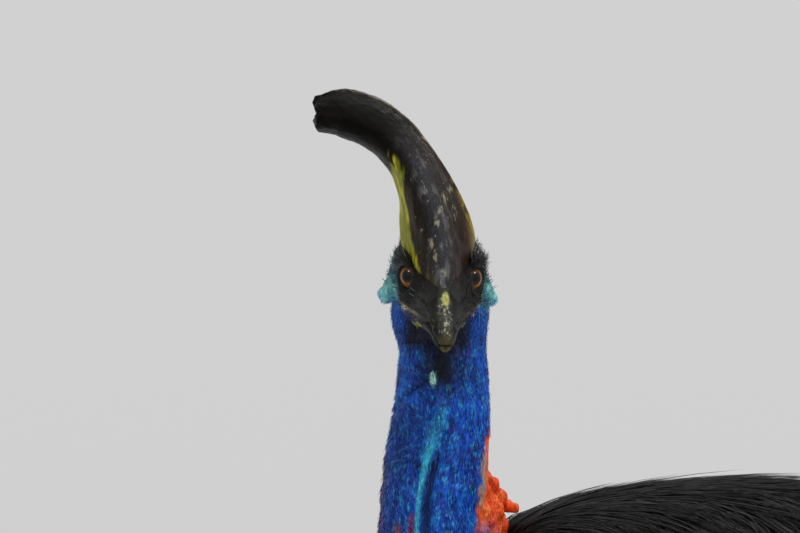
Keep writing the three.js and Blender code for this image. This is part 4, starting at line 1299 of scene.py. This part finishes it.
def skin():
    """One skin from bill to toes. Returns the points, normals and shades of its head and neck."""
    head, trunk, legs = head_and_neck(), trunk_skin(), leg_skin()
    shown = points_of(head.data), normals_of(head.data), painted(head.data)
    region = np.repeat([0, 0, 1], [len(piece.data.polygons) for piece in (head, trunk, legs)])
    whole = joined("skin", (head, trunk, legs))
    nodes = ["head", "neck_upper", "neck_middle", "neck_lower", "nape_caruncles"]
    nodes += ["wattle_left", "wattle_right", "torso", "tail"]
    for which in HANDS:
        nodes += [f"thigh_{which}", f"shank_{which}"] + [f"toe_{name}_{which}" for name in TOES]
    in_place(whole, [skin_finish(), scale_finish()], "neck_skin", nodes)
    whole.data.polygons.foreach_set("material_index", region.astype(np.int32))
    return shown


def painted(mesh):
    """The shades painted on a mesh, one a vertex."""
    values = np.empty(len(mesh.vertices) * 4, np.float32)
    mesh.attributes["tint"].data.foreach_get("color", values)
    return values.reshape(-1, 4)[:, :3].astype(float)


# Horn, bill, eyes and claws

def casque():
    def shape(a, b, t):
        pinch = blend(0.62, 0.12, smooth(t, 0, 0.4)) * np.maximum(0, b)
        return a * (1 - pinch), b

    piece = tube("casque_horn", 150, 170, casque_section, shape, domes=(0, 2.2))
    mesh = piece.data
    points, normals = points_of(mesh), normals_of(mesh)
    t, a, b = (kept(mesh, word) for word in ("along", "sideways", "ahead"))
    own = (points - EYES) @ CASQUE_FRAME.T
    high = smooth(t, 0.45, 0.72)
    ragged = smooth(t, 0.86, 0.98)
    outer_edge = smooth(a, 0.2, 0.7) * near(b, 0.04, 0.06)
    lift = 0.4 * cloud(points, 13, 40) + blend(0.1, 0.3, high) * grain(points, 3.2, 42)
    lift += 0.3 * np.sin(8 * a + 5 * b + 3 * grain(points, 22, 43)) * (1 - high)
    lift += 0.9 * outer_edge * smooth(t, 0.1, 0.2) + 0.8 * ragged * grain(points, 4.2, 44)
    lift -= 1.2 * near(t, 0.535, 0.012) * smooth(a, 0.6, 0.9) * smooth(-np.abs(b), -0.3, -0.1)
    points += normals * lift[:, None]
    end = ragged * (1.5 * grain(points * [0.3, 0.3, 1], 2.6, 47) + 1.0 * grain(points, 5.5, 48))
    end += 1.0 * a * smooth(t, 0.75, 1)
    points += end[:, None] * CASQUE_FRAME[1]
    move_points(mesh, points)
    speck = grain(points, 2.2, 45)
    streak = grain(own * [1, 1, 0.2], 3.6, 46)
    fibre = 0.07 * grain(own * [1, 1, 0.1], 2.2, 49)
    across = seen_across(points)
    limit = blend(0.56, 1.05, smooth(t, 0.3, 0.58))
    inner = smooth(-a, 0.0, 0.25) * smooth(limit - b - 0.8 * fibre, 0, 0.09)
    inner = inner * smooth(b + 3 * fibre, -0.75, -0.1) * smooth(0.6 - t + 1.1 * fibre, 0, 0.05)
    inner = inner * smooth(t, 0.02, 0.1) * smooth(across + 30 * fibre, -7.5, -5)
    low_rim = smooth(-t, -0.13, -0.05) * smooth(-a, 0.15, 0.45) * smooth(b, 0.0, 0.4)
    olive = smooth(a, 0.1, 0.5) * smooth(0.26 - b - 2 * fibre, 0, 0.12) * smooth(b + 3 * fibre, -0.7, -0.1)
    olive = olive * smooth(t, 0.03, 0.1) * smooth(0.36 - t + 1.5 * fibre, 0, 0.16)
    # Painted reflection: a grey sheen painted down the middle of the casque's front, where real scratches
    # also gather
    front = along_rows(CASQUE_SHEEN, points[:, 2])
    centre = near(across - front, 0, 8.5) * smooth(b, 0.1, 0.5)
    # Painted highlight: a paler, broken rim painted along the upper part of the casque's top edge
    rim_highlight = outer_edge * smooth(t, 0.36, 0.46) * smooth(-t, -0.93, -0.85) * smooth(speck, -0.5, 0.3)
    shade = layered(
        "#130c06",
        ("#2c1b0b", 0.75 * smooth(a, 0.25, 0.6) * smooth(streak, -0.7, 0.3) * (1 - high)),
        ("#2c210c", 0.7 * smooth(-a, 0.25, 0.5) * smooth(streak, -0.5, 0.4) * (1 - high)),
        # painted reflection: the grey sheen, with paler painted streaks in it
        ("#36363a", 0.8 * centre * (1 - 0.75 * high)),
        ("#6a6b6c", 0.5 * centre * smooth(streak, 0.1, 0.6) * (1 - high)),
        # near black over the upper part: the horn's dark colour together with painted shade on the shaded
        # side of its bend, a little lighter on the top edge as painted rim highlight
        ("#050403", 0.97 * high * (1 - 0.4 * outer_edge)),
        ("#120906", 0.7 * ragged * smooth(speck, -0.2, 0.5)),
        ("#76781a", 0.95 * inner),
        ("#b0a82a", 0.8 * inner * smooth(streak, -0.1, 0.5)),
        ("#6f5a18", 0.6 * low_rim * smooth(streak, -0.5, 0.3)),
        ("#5a4314", 0.6 * olive),
        ("#8a7a20", 0.8 * olive * near(b, 0.03, 0.14) * smooth(streak, -0.6, 0.2)),
        # painted rim highlight along the top edge
        ("#6b6048", 0.45 * rim_highlight),
    )
    rough = 0.9 * grain(points * [1, 1, 0.5], 1.2, 59)
    for x, height, wide, tall in CASQUE_SCUFFS:
        spot = np.hypot((across - x) / wide, (points[:, 2] - height) / tall) + rough
        shade = layered(shade, ("#a39d80", 0.5 * smooth(-spot, -0.7, -0.1) * smooth(b, 0.1, 0.4)))
    paint(mesh, "tint", shade)
    low_front = smooth(t, 0.02, 0.1) * (b > 0) * (t < 0.5)
    wear = np.clip(0.05 + 0.7 * centre * (1 - high) + 0.3 * low_front, 0, 1)
    paint(mesh, "wear", wear * (1 - high))
    in_place(piece, horn_finish("casque_horn", 0.3, 0.85, (0.9, 0.9, 0.12)), "casque_horn", ["casque"])


def bill_shape(ridge):
    """Narrows a section towards its top, or towards its bottom where the ridge is negative."""
    return lambda a, b, t: (a * (1 - abs(ridge) * np.maximum(0, b * np.sign(ridge))), b)


def bills():
    upper = tube("bill_top", 96, 120, bill_section(UPPER_BILL), bill_shape(0.42), domes=(2, 1.5))
    lower = tube("bill_base", 80, 100, bill_section(LOWER_BILL), bill_shape(-0.5), domes=(2, 1))
    for piece, name in ((upper, "bill_upper"), (lower, "bill_lower")):
        mesh = piece.data
        points, normals = points_of(mesh), normals_of(mesh)
        h = to_head(points)
        forward, left, up = h.T
        lift = 0.16 * grain(h * [0.4, 1, 1], 2.2, 50) + 0.25 * cloud(points, 9, 51)
        if piece is upper:
            for hand in (-1, 1):
                nostril = distance(h, mirrored(NOSTRIL, hand), [2.1, 1, 0.75])
                lift -= 3.6 * near(nostril, 0, 3.0) - 0.6 * near(nostril, 4.8, 1.3)
                rim = np.abs(up - blend(-9.4, -12.5, smooth(forward, 60, 112)))
                lift -= 0.5 * near(rim, 0, 0.9) * (np.sign(left) == hand)
        move_points(mesh, points + normals * lift[:, None])
        speck = grain(points, 2.6, 52)
        fleck = grain(h * [0.4, 1.2, 0.7], 1.0, 54) + 0.5 * grain(h * [0.15, 1, 0.5], 2.2, 55)
        ridge = smooth(-np.abs(left), -6.0, -2) * smooth(up, -9, -3)
        worn_ridge = ridge * smooth(forward, 62, 72)
        scuff = smooth(-distance(h, BILL_SCUFF, [3.4, 0.8, 1]) - 0.8 * speck, -4.6, -2.8)
        tip = smooth(forward, 105, 112)
        # Painted shadow: a dark line where the bill's halves meet at their tips
        seam = near(points[:, 2], MOUTH_SHADOW[1], 0.9) * smooth(forward, 98, 103)
        seam = seam * smooth(-np.abs(seen_across(points) - MOUTH_SHADOW[0]), -6.2, -5)
        # Painted shade: the nostrils' hollows are painted near black
        nostril_shade = near(distance(np.abs(h), np.abs(NOSTRIL), [2.3, 1.2, 0.8]), 0, 2.7)
        shade = layered(
            "#0d0d0b",
            ("#23241b", 0.7 * smooth(cloud(points, 8, 53), -0.1, 0.5)),
            ("#3c3e36", 0.6 * ridge),
            ("#605f55", 0.8 * worn_ridge * smooth(fleck, -0.3, 0.4)),
            ("#a3a089", 0.7 * worn_ridge * smooth(fleck, 0.25, 0.7)),
            ("#a9a95c", 0.95 * scuff * (0.85 + 0.5 * speck) * (piece is upper)),
            ("#6d6340", (0.25 if piece is upper else 0.85) * tip),
            ("#020202", nostril_shade * (piece is upper)),
            ("#040303", 0.95 * seam),
        )
        paint(mesh, "tint", shade)
        paint(mesh, "wear", np.clip(0.05 + 0.5 * ridge + 0.4 * tip, 0, 1))
        in_place(piece, horn_finish(name + "_horn", 0.34, 0.6, (0.35, 1.1, 1.1)), "bill_horn", [name])


def eyes():
    for hand, side in ((1, "left"), (-1, "right")):
        centre, sight = eye_line(hand)
        piece = ball(f"eyeball_{side}", centre, (EYE_BALL,) * 3, eye_axes(sight), (72, 48))
        points = points_of(piece.data)
        away = unit(points - centre)
        bulge = 0.55 * smooth(away @ gaze(hand), 0.8, 0.93)
        move_points(piece.data, points + away * bulge[:, None])
        in_place(piece, eye_finish(hand), "eye", [f"eye_{side}"])


def claws():
    finish = horn_finish("claw_horn", 0.36, 0.5, (0.3, 1, 1))
    for which in HANDS:
        for name in TOES:
            piece = tube(f"talon_{name}_{which}", 36, 56, claw_section(which, name), domes=(3, 0.6))
            mesh = piece.data
            points, normals = points_of(mesh), normals_of(mesh)
            t, b = kept(mesh, "along"), kept(mesh, "ahead")
            lift = 0.18 * cloud(points, 6, 60) - 0.5 * smooth(-b, 0.6, 1) * smooth(t, 0.2, 0.5)
            points += normals * lift[:, None]
            points[:, 2] = np.maximum(points[:, 2], FLOOR_GAP)
            move_points(mesh, points)
            pale, brown = 0.8 * smooth(-t, -0.3, 0.02), 0.5 * smooth(b, 0.2, 1)
            paint(mesh, "tint", layered("#17130f", ("#4a4234", pale), ("#2b251c", brown)))
            paint(mesh, "wear", 0.3 + 0.5 * t)
            in_place(piece, finish, "claw_horn", [f"claw_{name}_{which}"])


# The coat

def trunk_roots(gap, rng):
    """Even places over the trunk: distance back and angle from the spine."""
    spots = []
    x = TRUNK[0][0] + 5.0
    while x < TRUNK[-1][0] - 4:
        _, wide, high, low = trunk_at(x)
        girth = math.pi * (wide + (high + low) / 2)
        count = max(5, int(girth / gap))
        turns = (np.arange(count) + rng.random(count)) / count
        spots.append(stacked(x + gap * (rng.random(count) - 0.5), turns * 2 * math.pi - math.pi))
        slope = abs(trunk_at(x + 6)[1] - trunk_at(x - 6)[1]) / 12
        x += gap / math.hypot(1, min(slope, 4))
    return np.concatenate(spots)


def clumped(lines, out, members, spread, wave, rng):
    """Strands round each line, drawn together towards its tip."""
    count, steps = lines.shape[:2]
    way = unit(np.gradient(lines, axis=1))
    side = unit(np.cross(way, out))
    t = np.linspace(0, 1, steps)[None, None, :, None]
    offset = rng.normal(0, spread, (count, members, 1, 1))
    stagger = rng.uniform(-0.06, 0.06, (count, members, 1, 1))
    high = rng.uniform(-1.0, 2.2, (count, members, 1, 1))
    phase = rng.uniform(0, 2 * math.pi, (count, members, 1, 1))
    sway = wave * np.sin(phase + t * rng.uniform(2.5, 5.5, (count, members, 1, 1))) * t
    long = (lines[:, -1] - lines[:, 0])[:, None, None, :]
    made = lines[:, None] + side[:, None] * (offset * blend(1, 0.3, t ** 0.8) + sway)
    high = high + 2.2 * rng.uniform(-0.5, 1, (count, members, 1, 1)) * t ** 2
    made = made + out[:, None] * high + long * stagger
    return made.reshape(count * members, steps, 3)


def coat(rng):
    x, angle = trunk_roots(COAT_GAP, rng).T
    x = np.concatenate([x, rng.uniform(50, 170, NECK_FOOT_CLUMPS)])
    angle = np.concatenate([angle, rng.normal(0, 0.75, NECK_FOOT_CLUMPS)])
    root = drape(x, angle, np.full(len(x), 1.0), np.zeros(len(x)), 0, (1.0,))[:, 0]
    hole_x, hole_long, hole_wide, hole_low = NECK_HOLE
    in_neck = np.hypot((root[:, 0] - hole_x) / hole_long, root[:, 1] / hole_wide) < 1
    in_neck = in_neck & (root[:, 2] > hole_low)
    drop = root[:, 2] - along_rows(HEM, x + 40)
    steep = smooth(np.abs(angle), 0.9, 1.8)
    under = smooth(np.abs(angle), 2.3, 2.8)
    stub = smooth(x, 690, 784) * (1 - smooth(np.abs(angle), 0.5, 1.6))
    grown = 190 * rng.uniform(0.8, 1.12, len(x)) * blend(1, 0.4, stub)
    long = np.minimum(grown, blend(999, drop + 18 * rng.random(len(x)), steep))
    long = np.maximum(long, blend(0, 70, np.maximum(under, 0.5)))
    long = long * blend(1, 0.45, smooth(-x, -70, -14) * smooth(root[:, 2], 800, 860))
    keep = ~in_neck
    x, angle, long, root = x[keep], angle[keep], long[keep], root[keep]
    mane = near(x, 92, 48) * (1 - smooth(np.abs(angle), 0.35, 1.2))
    lift = 2.5 * rng.random(len(x))
    lines = drape(x, angle, long * blend(1, 0.5, mane), 0.16 * (rng.random(len(x)) - 0.5), lift)
    out = outwards(lines)
    made = clumped(lines, out, CLUMP, 5.2, 4.0, rng)
    out = np.repeat(out, CLUMP, axis=0)
    place = stacked(x / 900 + 0.05, (angle + math.pi) / (2 * math.pi) * 0.9 + 0.05)
    place = np.repeat(place, CLUMP, axis=0)
    count = len(made)
    half = rng.uniform(0.6, 1.2, count)
    tone = rng.uniform(0.5, 1.5, count)[:, None]
    tone = tone * np.repeat(rng.uniform(0.75, 1.3, len(x)), CLUMP)[:, None]
    tint = tone * colour(PLUME) + (rng.random(count) > 0.93)[:, None] * colour("#34322f") * 0.5
    finish = plume_finish("plumes", 0.42, 0.2)
    band = np.minimum((np.repeat(x, CLUMP) / 800 * len(COAT_BANDS)).astype(int), len(COAT_BANDS) - 1)
    right = np.repeat(root[:, 1] > 0, CLUMP)
    for index, word in enumerate(COAT_BANDS):
        for which, on_side in (("left", ~right), ("right", right)):
            some = (band == index) & on_side
            values = [made[some], half[some], half[some] * 0.8, out[some], tint[some], place[some]]
            in_place(strands(f"coat_{word}_{which}", *values), finish, "plumage")
    return finish


def thigh_coat(finish, rng):
    """Short feathers that lie down each drumstick to its feather line."""
    for which in HANDS:
        section = leg_section(DRUMSTICK, which)
        count = THIGH_STRANDS
        start = rng.uniform(0.02, 0.86, count)
        angle = rng.uniform(0, 2 * math.pi, count)
        reach = rng.uniform(0.15, 0.24, count) * blend(1, 0.6, smooth(start, 0.6, 0.86))
        lines, outs = [], []
        for share in np.linspace(0, 1, 4):
            centre, side, top, wide, high, low = section(start + reach * share)
            deep = blend(15, 0, smooth(start, 0.45, 0.88))
            lift = blend(-2.0 - deep, blend(5, 9, rng.random(count)) - 0.35 * deep, share)
            lift = lift * blend(1, 0.45, smooth(start, 0.55, 0.8))
            way = side * np.sin(angle)[:, None] + top * np.cos(angle)[:, None]
            size = np.where(np.cos(angle) > 0, high, low)
            line = centre + side * (np.sin(angle) * (wide + lift))[:, None]
            lines.append(line + top * (np.cos(angle) * (size + lift))[:, None])
            outs.append(unit(way))
        lines, out = np.stack(lines, 1), np.stack(outs, 1)
        lines[:, 1:] += rng.normal(0, 1.2, (count, 1, 3)) * np.linspace(0.3, 1, 3)[None, :, None]
        place = stacked(start * 0.9, angle / (2 * math.pi) * 0.9 + 0.05)
        half = rng.uniform(1.2, 2.0, count)
        tint = rng.uniform(0.6, 1.6, count)[:, None] * colour(PLUME)
        piece = strands(f"coat_thigh_{which}", lines, half, half * 0.8, out, tint, place)
        in_place(piece, finish, "plumage")


def quill_section(which, number):
    """One quill of a wing, from its root on the flank back and down."""
    x, y, z = WING_ROOT
    share = number / (QUILLS - 1)
    long = QUILL_LONG * blend(1, 0.86, share)

    def place(t):
        back = 6 * number + long * (0.28 + 0.12 * share) * t + 10 * np.sin(math.pi * t)
        out = 14 + 29 * t ** 0.7
        down = 4 - 3 * share + long * (0.86 * t * t + 0.1 * t)
        radius = blend(2.6, 0.7, t)
        centre = stacked(x + back, HANDS[which] * (y + out), z - down)
        return centre, ACROSS, unit(np.array([0.9, 0, 0.4])), radius, radius, radius

    return place


def wing_quills():
    """The bare quills of each wing, which curve down over the flank."""
    finish = horn_finish("quill_horn", 0.3, 0.3, (1, 1, 0.2))
    for which in HANDS:
        quills = [tube("quill", 12, 40, quill_section(which, i), domes=(1, 0.6)) for i in range(QUILLS)]
        whole = joined(f"quills_{which}", quills)
        t = kept(whole.data, "along")
        paint(whole.data, "tint", layered("#0d0b0a", ("#4a3d2c", 0.7 * smooth(t, 0.55, 1))))
        paint(whole.data, "wear", 0.2 + 0.2 * t)
        in_place(whole, finish, "plumage", [f"wing_{which}"])


def surface_tufts(name, spots, normals, way, long, half, tint, finish, slot, rng, lean):
    """Short hairs rooted on the skin, lying the given way and leaning out of it."""
    count = len(spots)
    flat = unit(way - normals * (way * normals).sum(-1, keepdims=True))
    stand = lean * rng.uniform(0.4, 1.6, count)[:, None]
    heading = unit(flat + normals * stand + rng.normal(0, 0.12, (count, 3)))
    steps = np.array([-0.12, 0.5, 1.0])
    lines = spots[:, None] + heading[:, None] * (steps[None, :] * long[:, None])[..., None]
    lines[:, 2] -= normals * (long * stand[:, 0] * 0.35)[:, None]
    out = np.repeat(normals[:, None], 3, axis=1)
    turn = np.arctan2(spots[:, 1] + 15, spots[:, 0] - 40)
    roots = stacked(spots[:, 2] / 1400, (turn + math.pi) / 7)
    piece = strands(name, lines, half, half * 0.7, out, tint, roots)
    in_place(piece, finish, slot)


def neck_down(shown, rng):
    """The fine hair-like down on the neck, in the colours of the skin below it."""
    points, normals, tint = shown
    h, heading, neck = head_masks(points)
    nape = smooth(np.abs(heading), 125, 140) * smooth(-points[:, 2], -1005, -990)
    jaw = smooth(-h[:, 2], 17, 27) * smooth(np.abs(h[:, 1]), 14, 24) * smooth(-h[:, 0], -30, -10)
    weight = np.maximum(smooth(neck, 0.15, 0.5), 0.8 * jaw)
    weight = weight * smooth(points[:, 2], 840, 870) * (1 - nape) * (points[:, 0] > -2)
    weight = weight / weight.sum()
    count = NECK_HAIRS
    some = rng.choice(len(points), count, replace=False, p=weight)
    spots = points[some] + rng.normal(0, 0.4, (count, 3))
    shade = tint[some] * rng.uniform(0.45, 1.5, count)[:, None]
    kind = rng.random(count)[:, None]
    # The hairs carry the skin's painted colours, its painted shadows among them; the bright ones fade where
    # painted shadow darkens the skin
    lit = 0.75 * np.clip(tint[some].sum(axis=1) / 0.35, 0, 1)[:, None]
    shade = np.where(kind > 0.88, blend(shade, colour("#2f9fd8"), lit), shade)
    shade = np.where(kind < 0.2, shade * 0.22, shade)
    swirl = 1.1 * grain(spots * [1, 1, 0.7], 13, 70) + 0.5 * grain(spots, 5, 71)
    fold_side = smooth(along_rows(FOLD, spots[:, 2]) - heading[some], 2, 25)
    swirl = swirl * blend(0.55, 1.3, fold_side)
    round_neck = unit(np.cross(normals[some], UP))
    way = round_neck * np.sin(swirl)[:, None] - UP * np.cos(swirl)[:, None]
    long = rng.uniform(1.8, 4.2, count)
    finish = plume_finish("neck_down_hair", 0.45, 0.0)
    right = heading[some] < 0
    for word, part in (("left", ~right), ("right", right)):
        half = rng.uniform(0.22, 0.42, part.sum())
        values = [spots[part], normals[some][part], way[part], long[part], half, shade[part]]
        surface_tufts(f"neck_down_{word}", *values, finish, "neck_skin", rng, lean=0.2)


def face_bristles(shown, rng):
    """Sparse black bristles round the eyes, on the brow, the lores and the back of the head."""
    points, normals, _ = shown
    h, _, neck = head_masks(points)
    finish = plume_finish("bristle_hair", 0.4, 0.35)
    (left_ring, left_depth), (right_ring, right_depth) = from_eye(points, 1), from_eye(points, -1)
    ring, depth = np.minimum(left_ring, right_ring), np.maximum(left_depth, right_depth)
    around = near(ring, 15, 3.6) * smooth(depth, -4, 4) * (1 - neck)
    crown = smooth(-h[:, 0], -6, 20) * smooth(h[:, 2], -14, 6) * (1 - smooth(neck, 0.4, 0.9)) * 0.35
    lores = near(distance(h * [1, 0, 1], [36, 0, 2]), 0, 14) * (np.abs(h[:, 1]) > 12) * 0.5
    weight = around * smooth(h[:, 2], -14, 2) + crown + lores
    weight = weight * (ring > 10.4)
    count = BRISTLES
    some = rng.choice(len(points), count, replace=False, p=weight / weight.sum())
    away = unit(points[some] - EYES - HEAD[0] * 30)
    way = away + HEAD[2] * 0.35 - HEAD[0] * 0.9
    long = rng.uniform(4, 10, count) * blend(1, 1.5, rng.random(count) ** 6)
    shade = np.broadcast_to(colour("#0b0a0a"), (count, 3)) * rng.uniform(0.6, 1.8, count)[:, None]
    brow = near(distance(h[some] * [1, 0, 1], [0, 0, 24]), 0, 9)
    pale = (rng.random(count) < 0.01 + 0.3 * brow)[:, None]
    shade = np.where(pale, colour("#6f8a80"), shade)
    values = [points[some], normals[some], way, long, rng.uniform(0.16, 0.3, count), shade]
    surface_tufts("face_bristles", *values, finish, "face_skin", rng, lean=0.45)


# The studio

def lamp(name, place, aim, size, power, tint=(1, 1, 1)):
    light = bpy.data.lights.new(name, "AREA")
    light.shape = "RECTANGLE"
    light.size, light.size_y = size
    light.energy = power
    light.color = tint
    lamp_object = linked(name, light)
    lamp_object.location = place
    lamp_object.rotation_mode = "QUATERNION"
    lamp_object.rotation_quaternion = (Vector(aim) - Vector(place)).to_track_quat("-Z", "Y")


def studio():
    bm = bmesh.new()
    bmesh.ops.create_grid(bm, x_segments=2, y_segments=2, size=12)
    floor = from_bmesh("studio_floor", bm)
    floor.data.materials.append(floor_finish())
    world = bpy.data.worlds.new("studio")
    bpy.context.scene.world = world
    world.use_nodes = True
    tree = world.node_tree
    way = node(tree, "ShaderNodeTexCoord").outputs["Generated"]
    rise = node(tree, "ShaderNodeSeparateXYZ", Vector=way).outputs["Z"]
    share = plus(tree, times(tree, rise, 0.5), 0.5)
    sky = ramp(tree, share, (0.3, 0.6), (0.48, 0.63), (0.54, 0.64), (0.66, 0.6), (1.0, 0.58))
    tree.links.new(sky, tree.nodes["Background"].inputs["Color"])
    bpy.context.scene.view_settings.view_transform = "Standard"
    head = (EYES + HOME) * MM
    lamp("key", head + [1.93, -1.35, 1.1], head, (0.45, 0.45), 20)
    lamp("side", head + [-2.35, -0.4, 1.1], head, (0.4, 0.4), 11)
    lamp("front", head + [-0.2, -1.95, 1.7], head, (0.9, 0.9), 14)
    lamp("rim", head + [1.3, 1.9, 1.2], head + [0, 0, 0.05], (0.5, 0.9), 6, (1, 0.98, 0.94))
    lamp("ceiling", (0.1, 0, 3.3), (0.1, 0, 0.6), (2.4, 2.4), 26)


def camera():
    data = bpy.data.cameras.new("camera")
    data.lens = CAMERA_LENS
    data.sensor_width = CAMERA_SENSOR
    data.clip_end = 100
    made = linked("camera", data)
    back = np.array([math.sin(CAMERA_AZIMUTH), -math.cos(CAMERA_AZIMUTH), 0])
    made.location = (np.array(CAMERA_AIM) + HOME + back * CAMERA_AWAY) * MM
    made.rotation_mode = "QUATERNION"
    made.rotation_quaternion = Vector(-back).to_track_quat("-Z", "Y")
    bpy.context.scene.camera = made


camera()
studio()
rng = np.random.default_rng(SEED)
shown_skin = skin()
casque()
bills()
eyes()
claws()
plumes = coat(rng)
thigh_coat(plumes, rng)
wing_quills()
neck_down(shown_skin, rng)
face_bristles(shown_skin, rng)
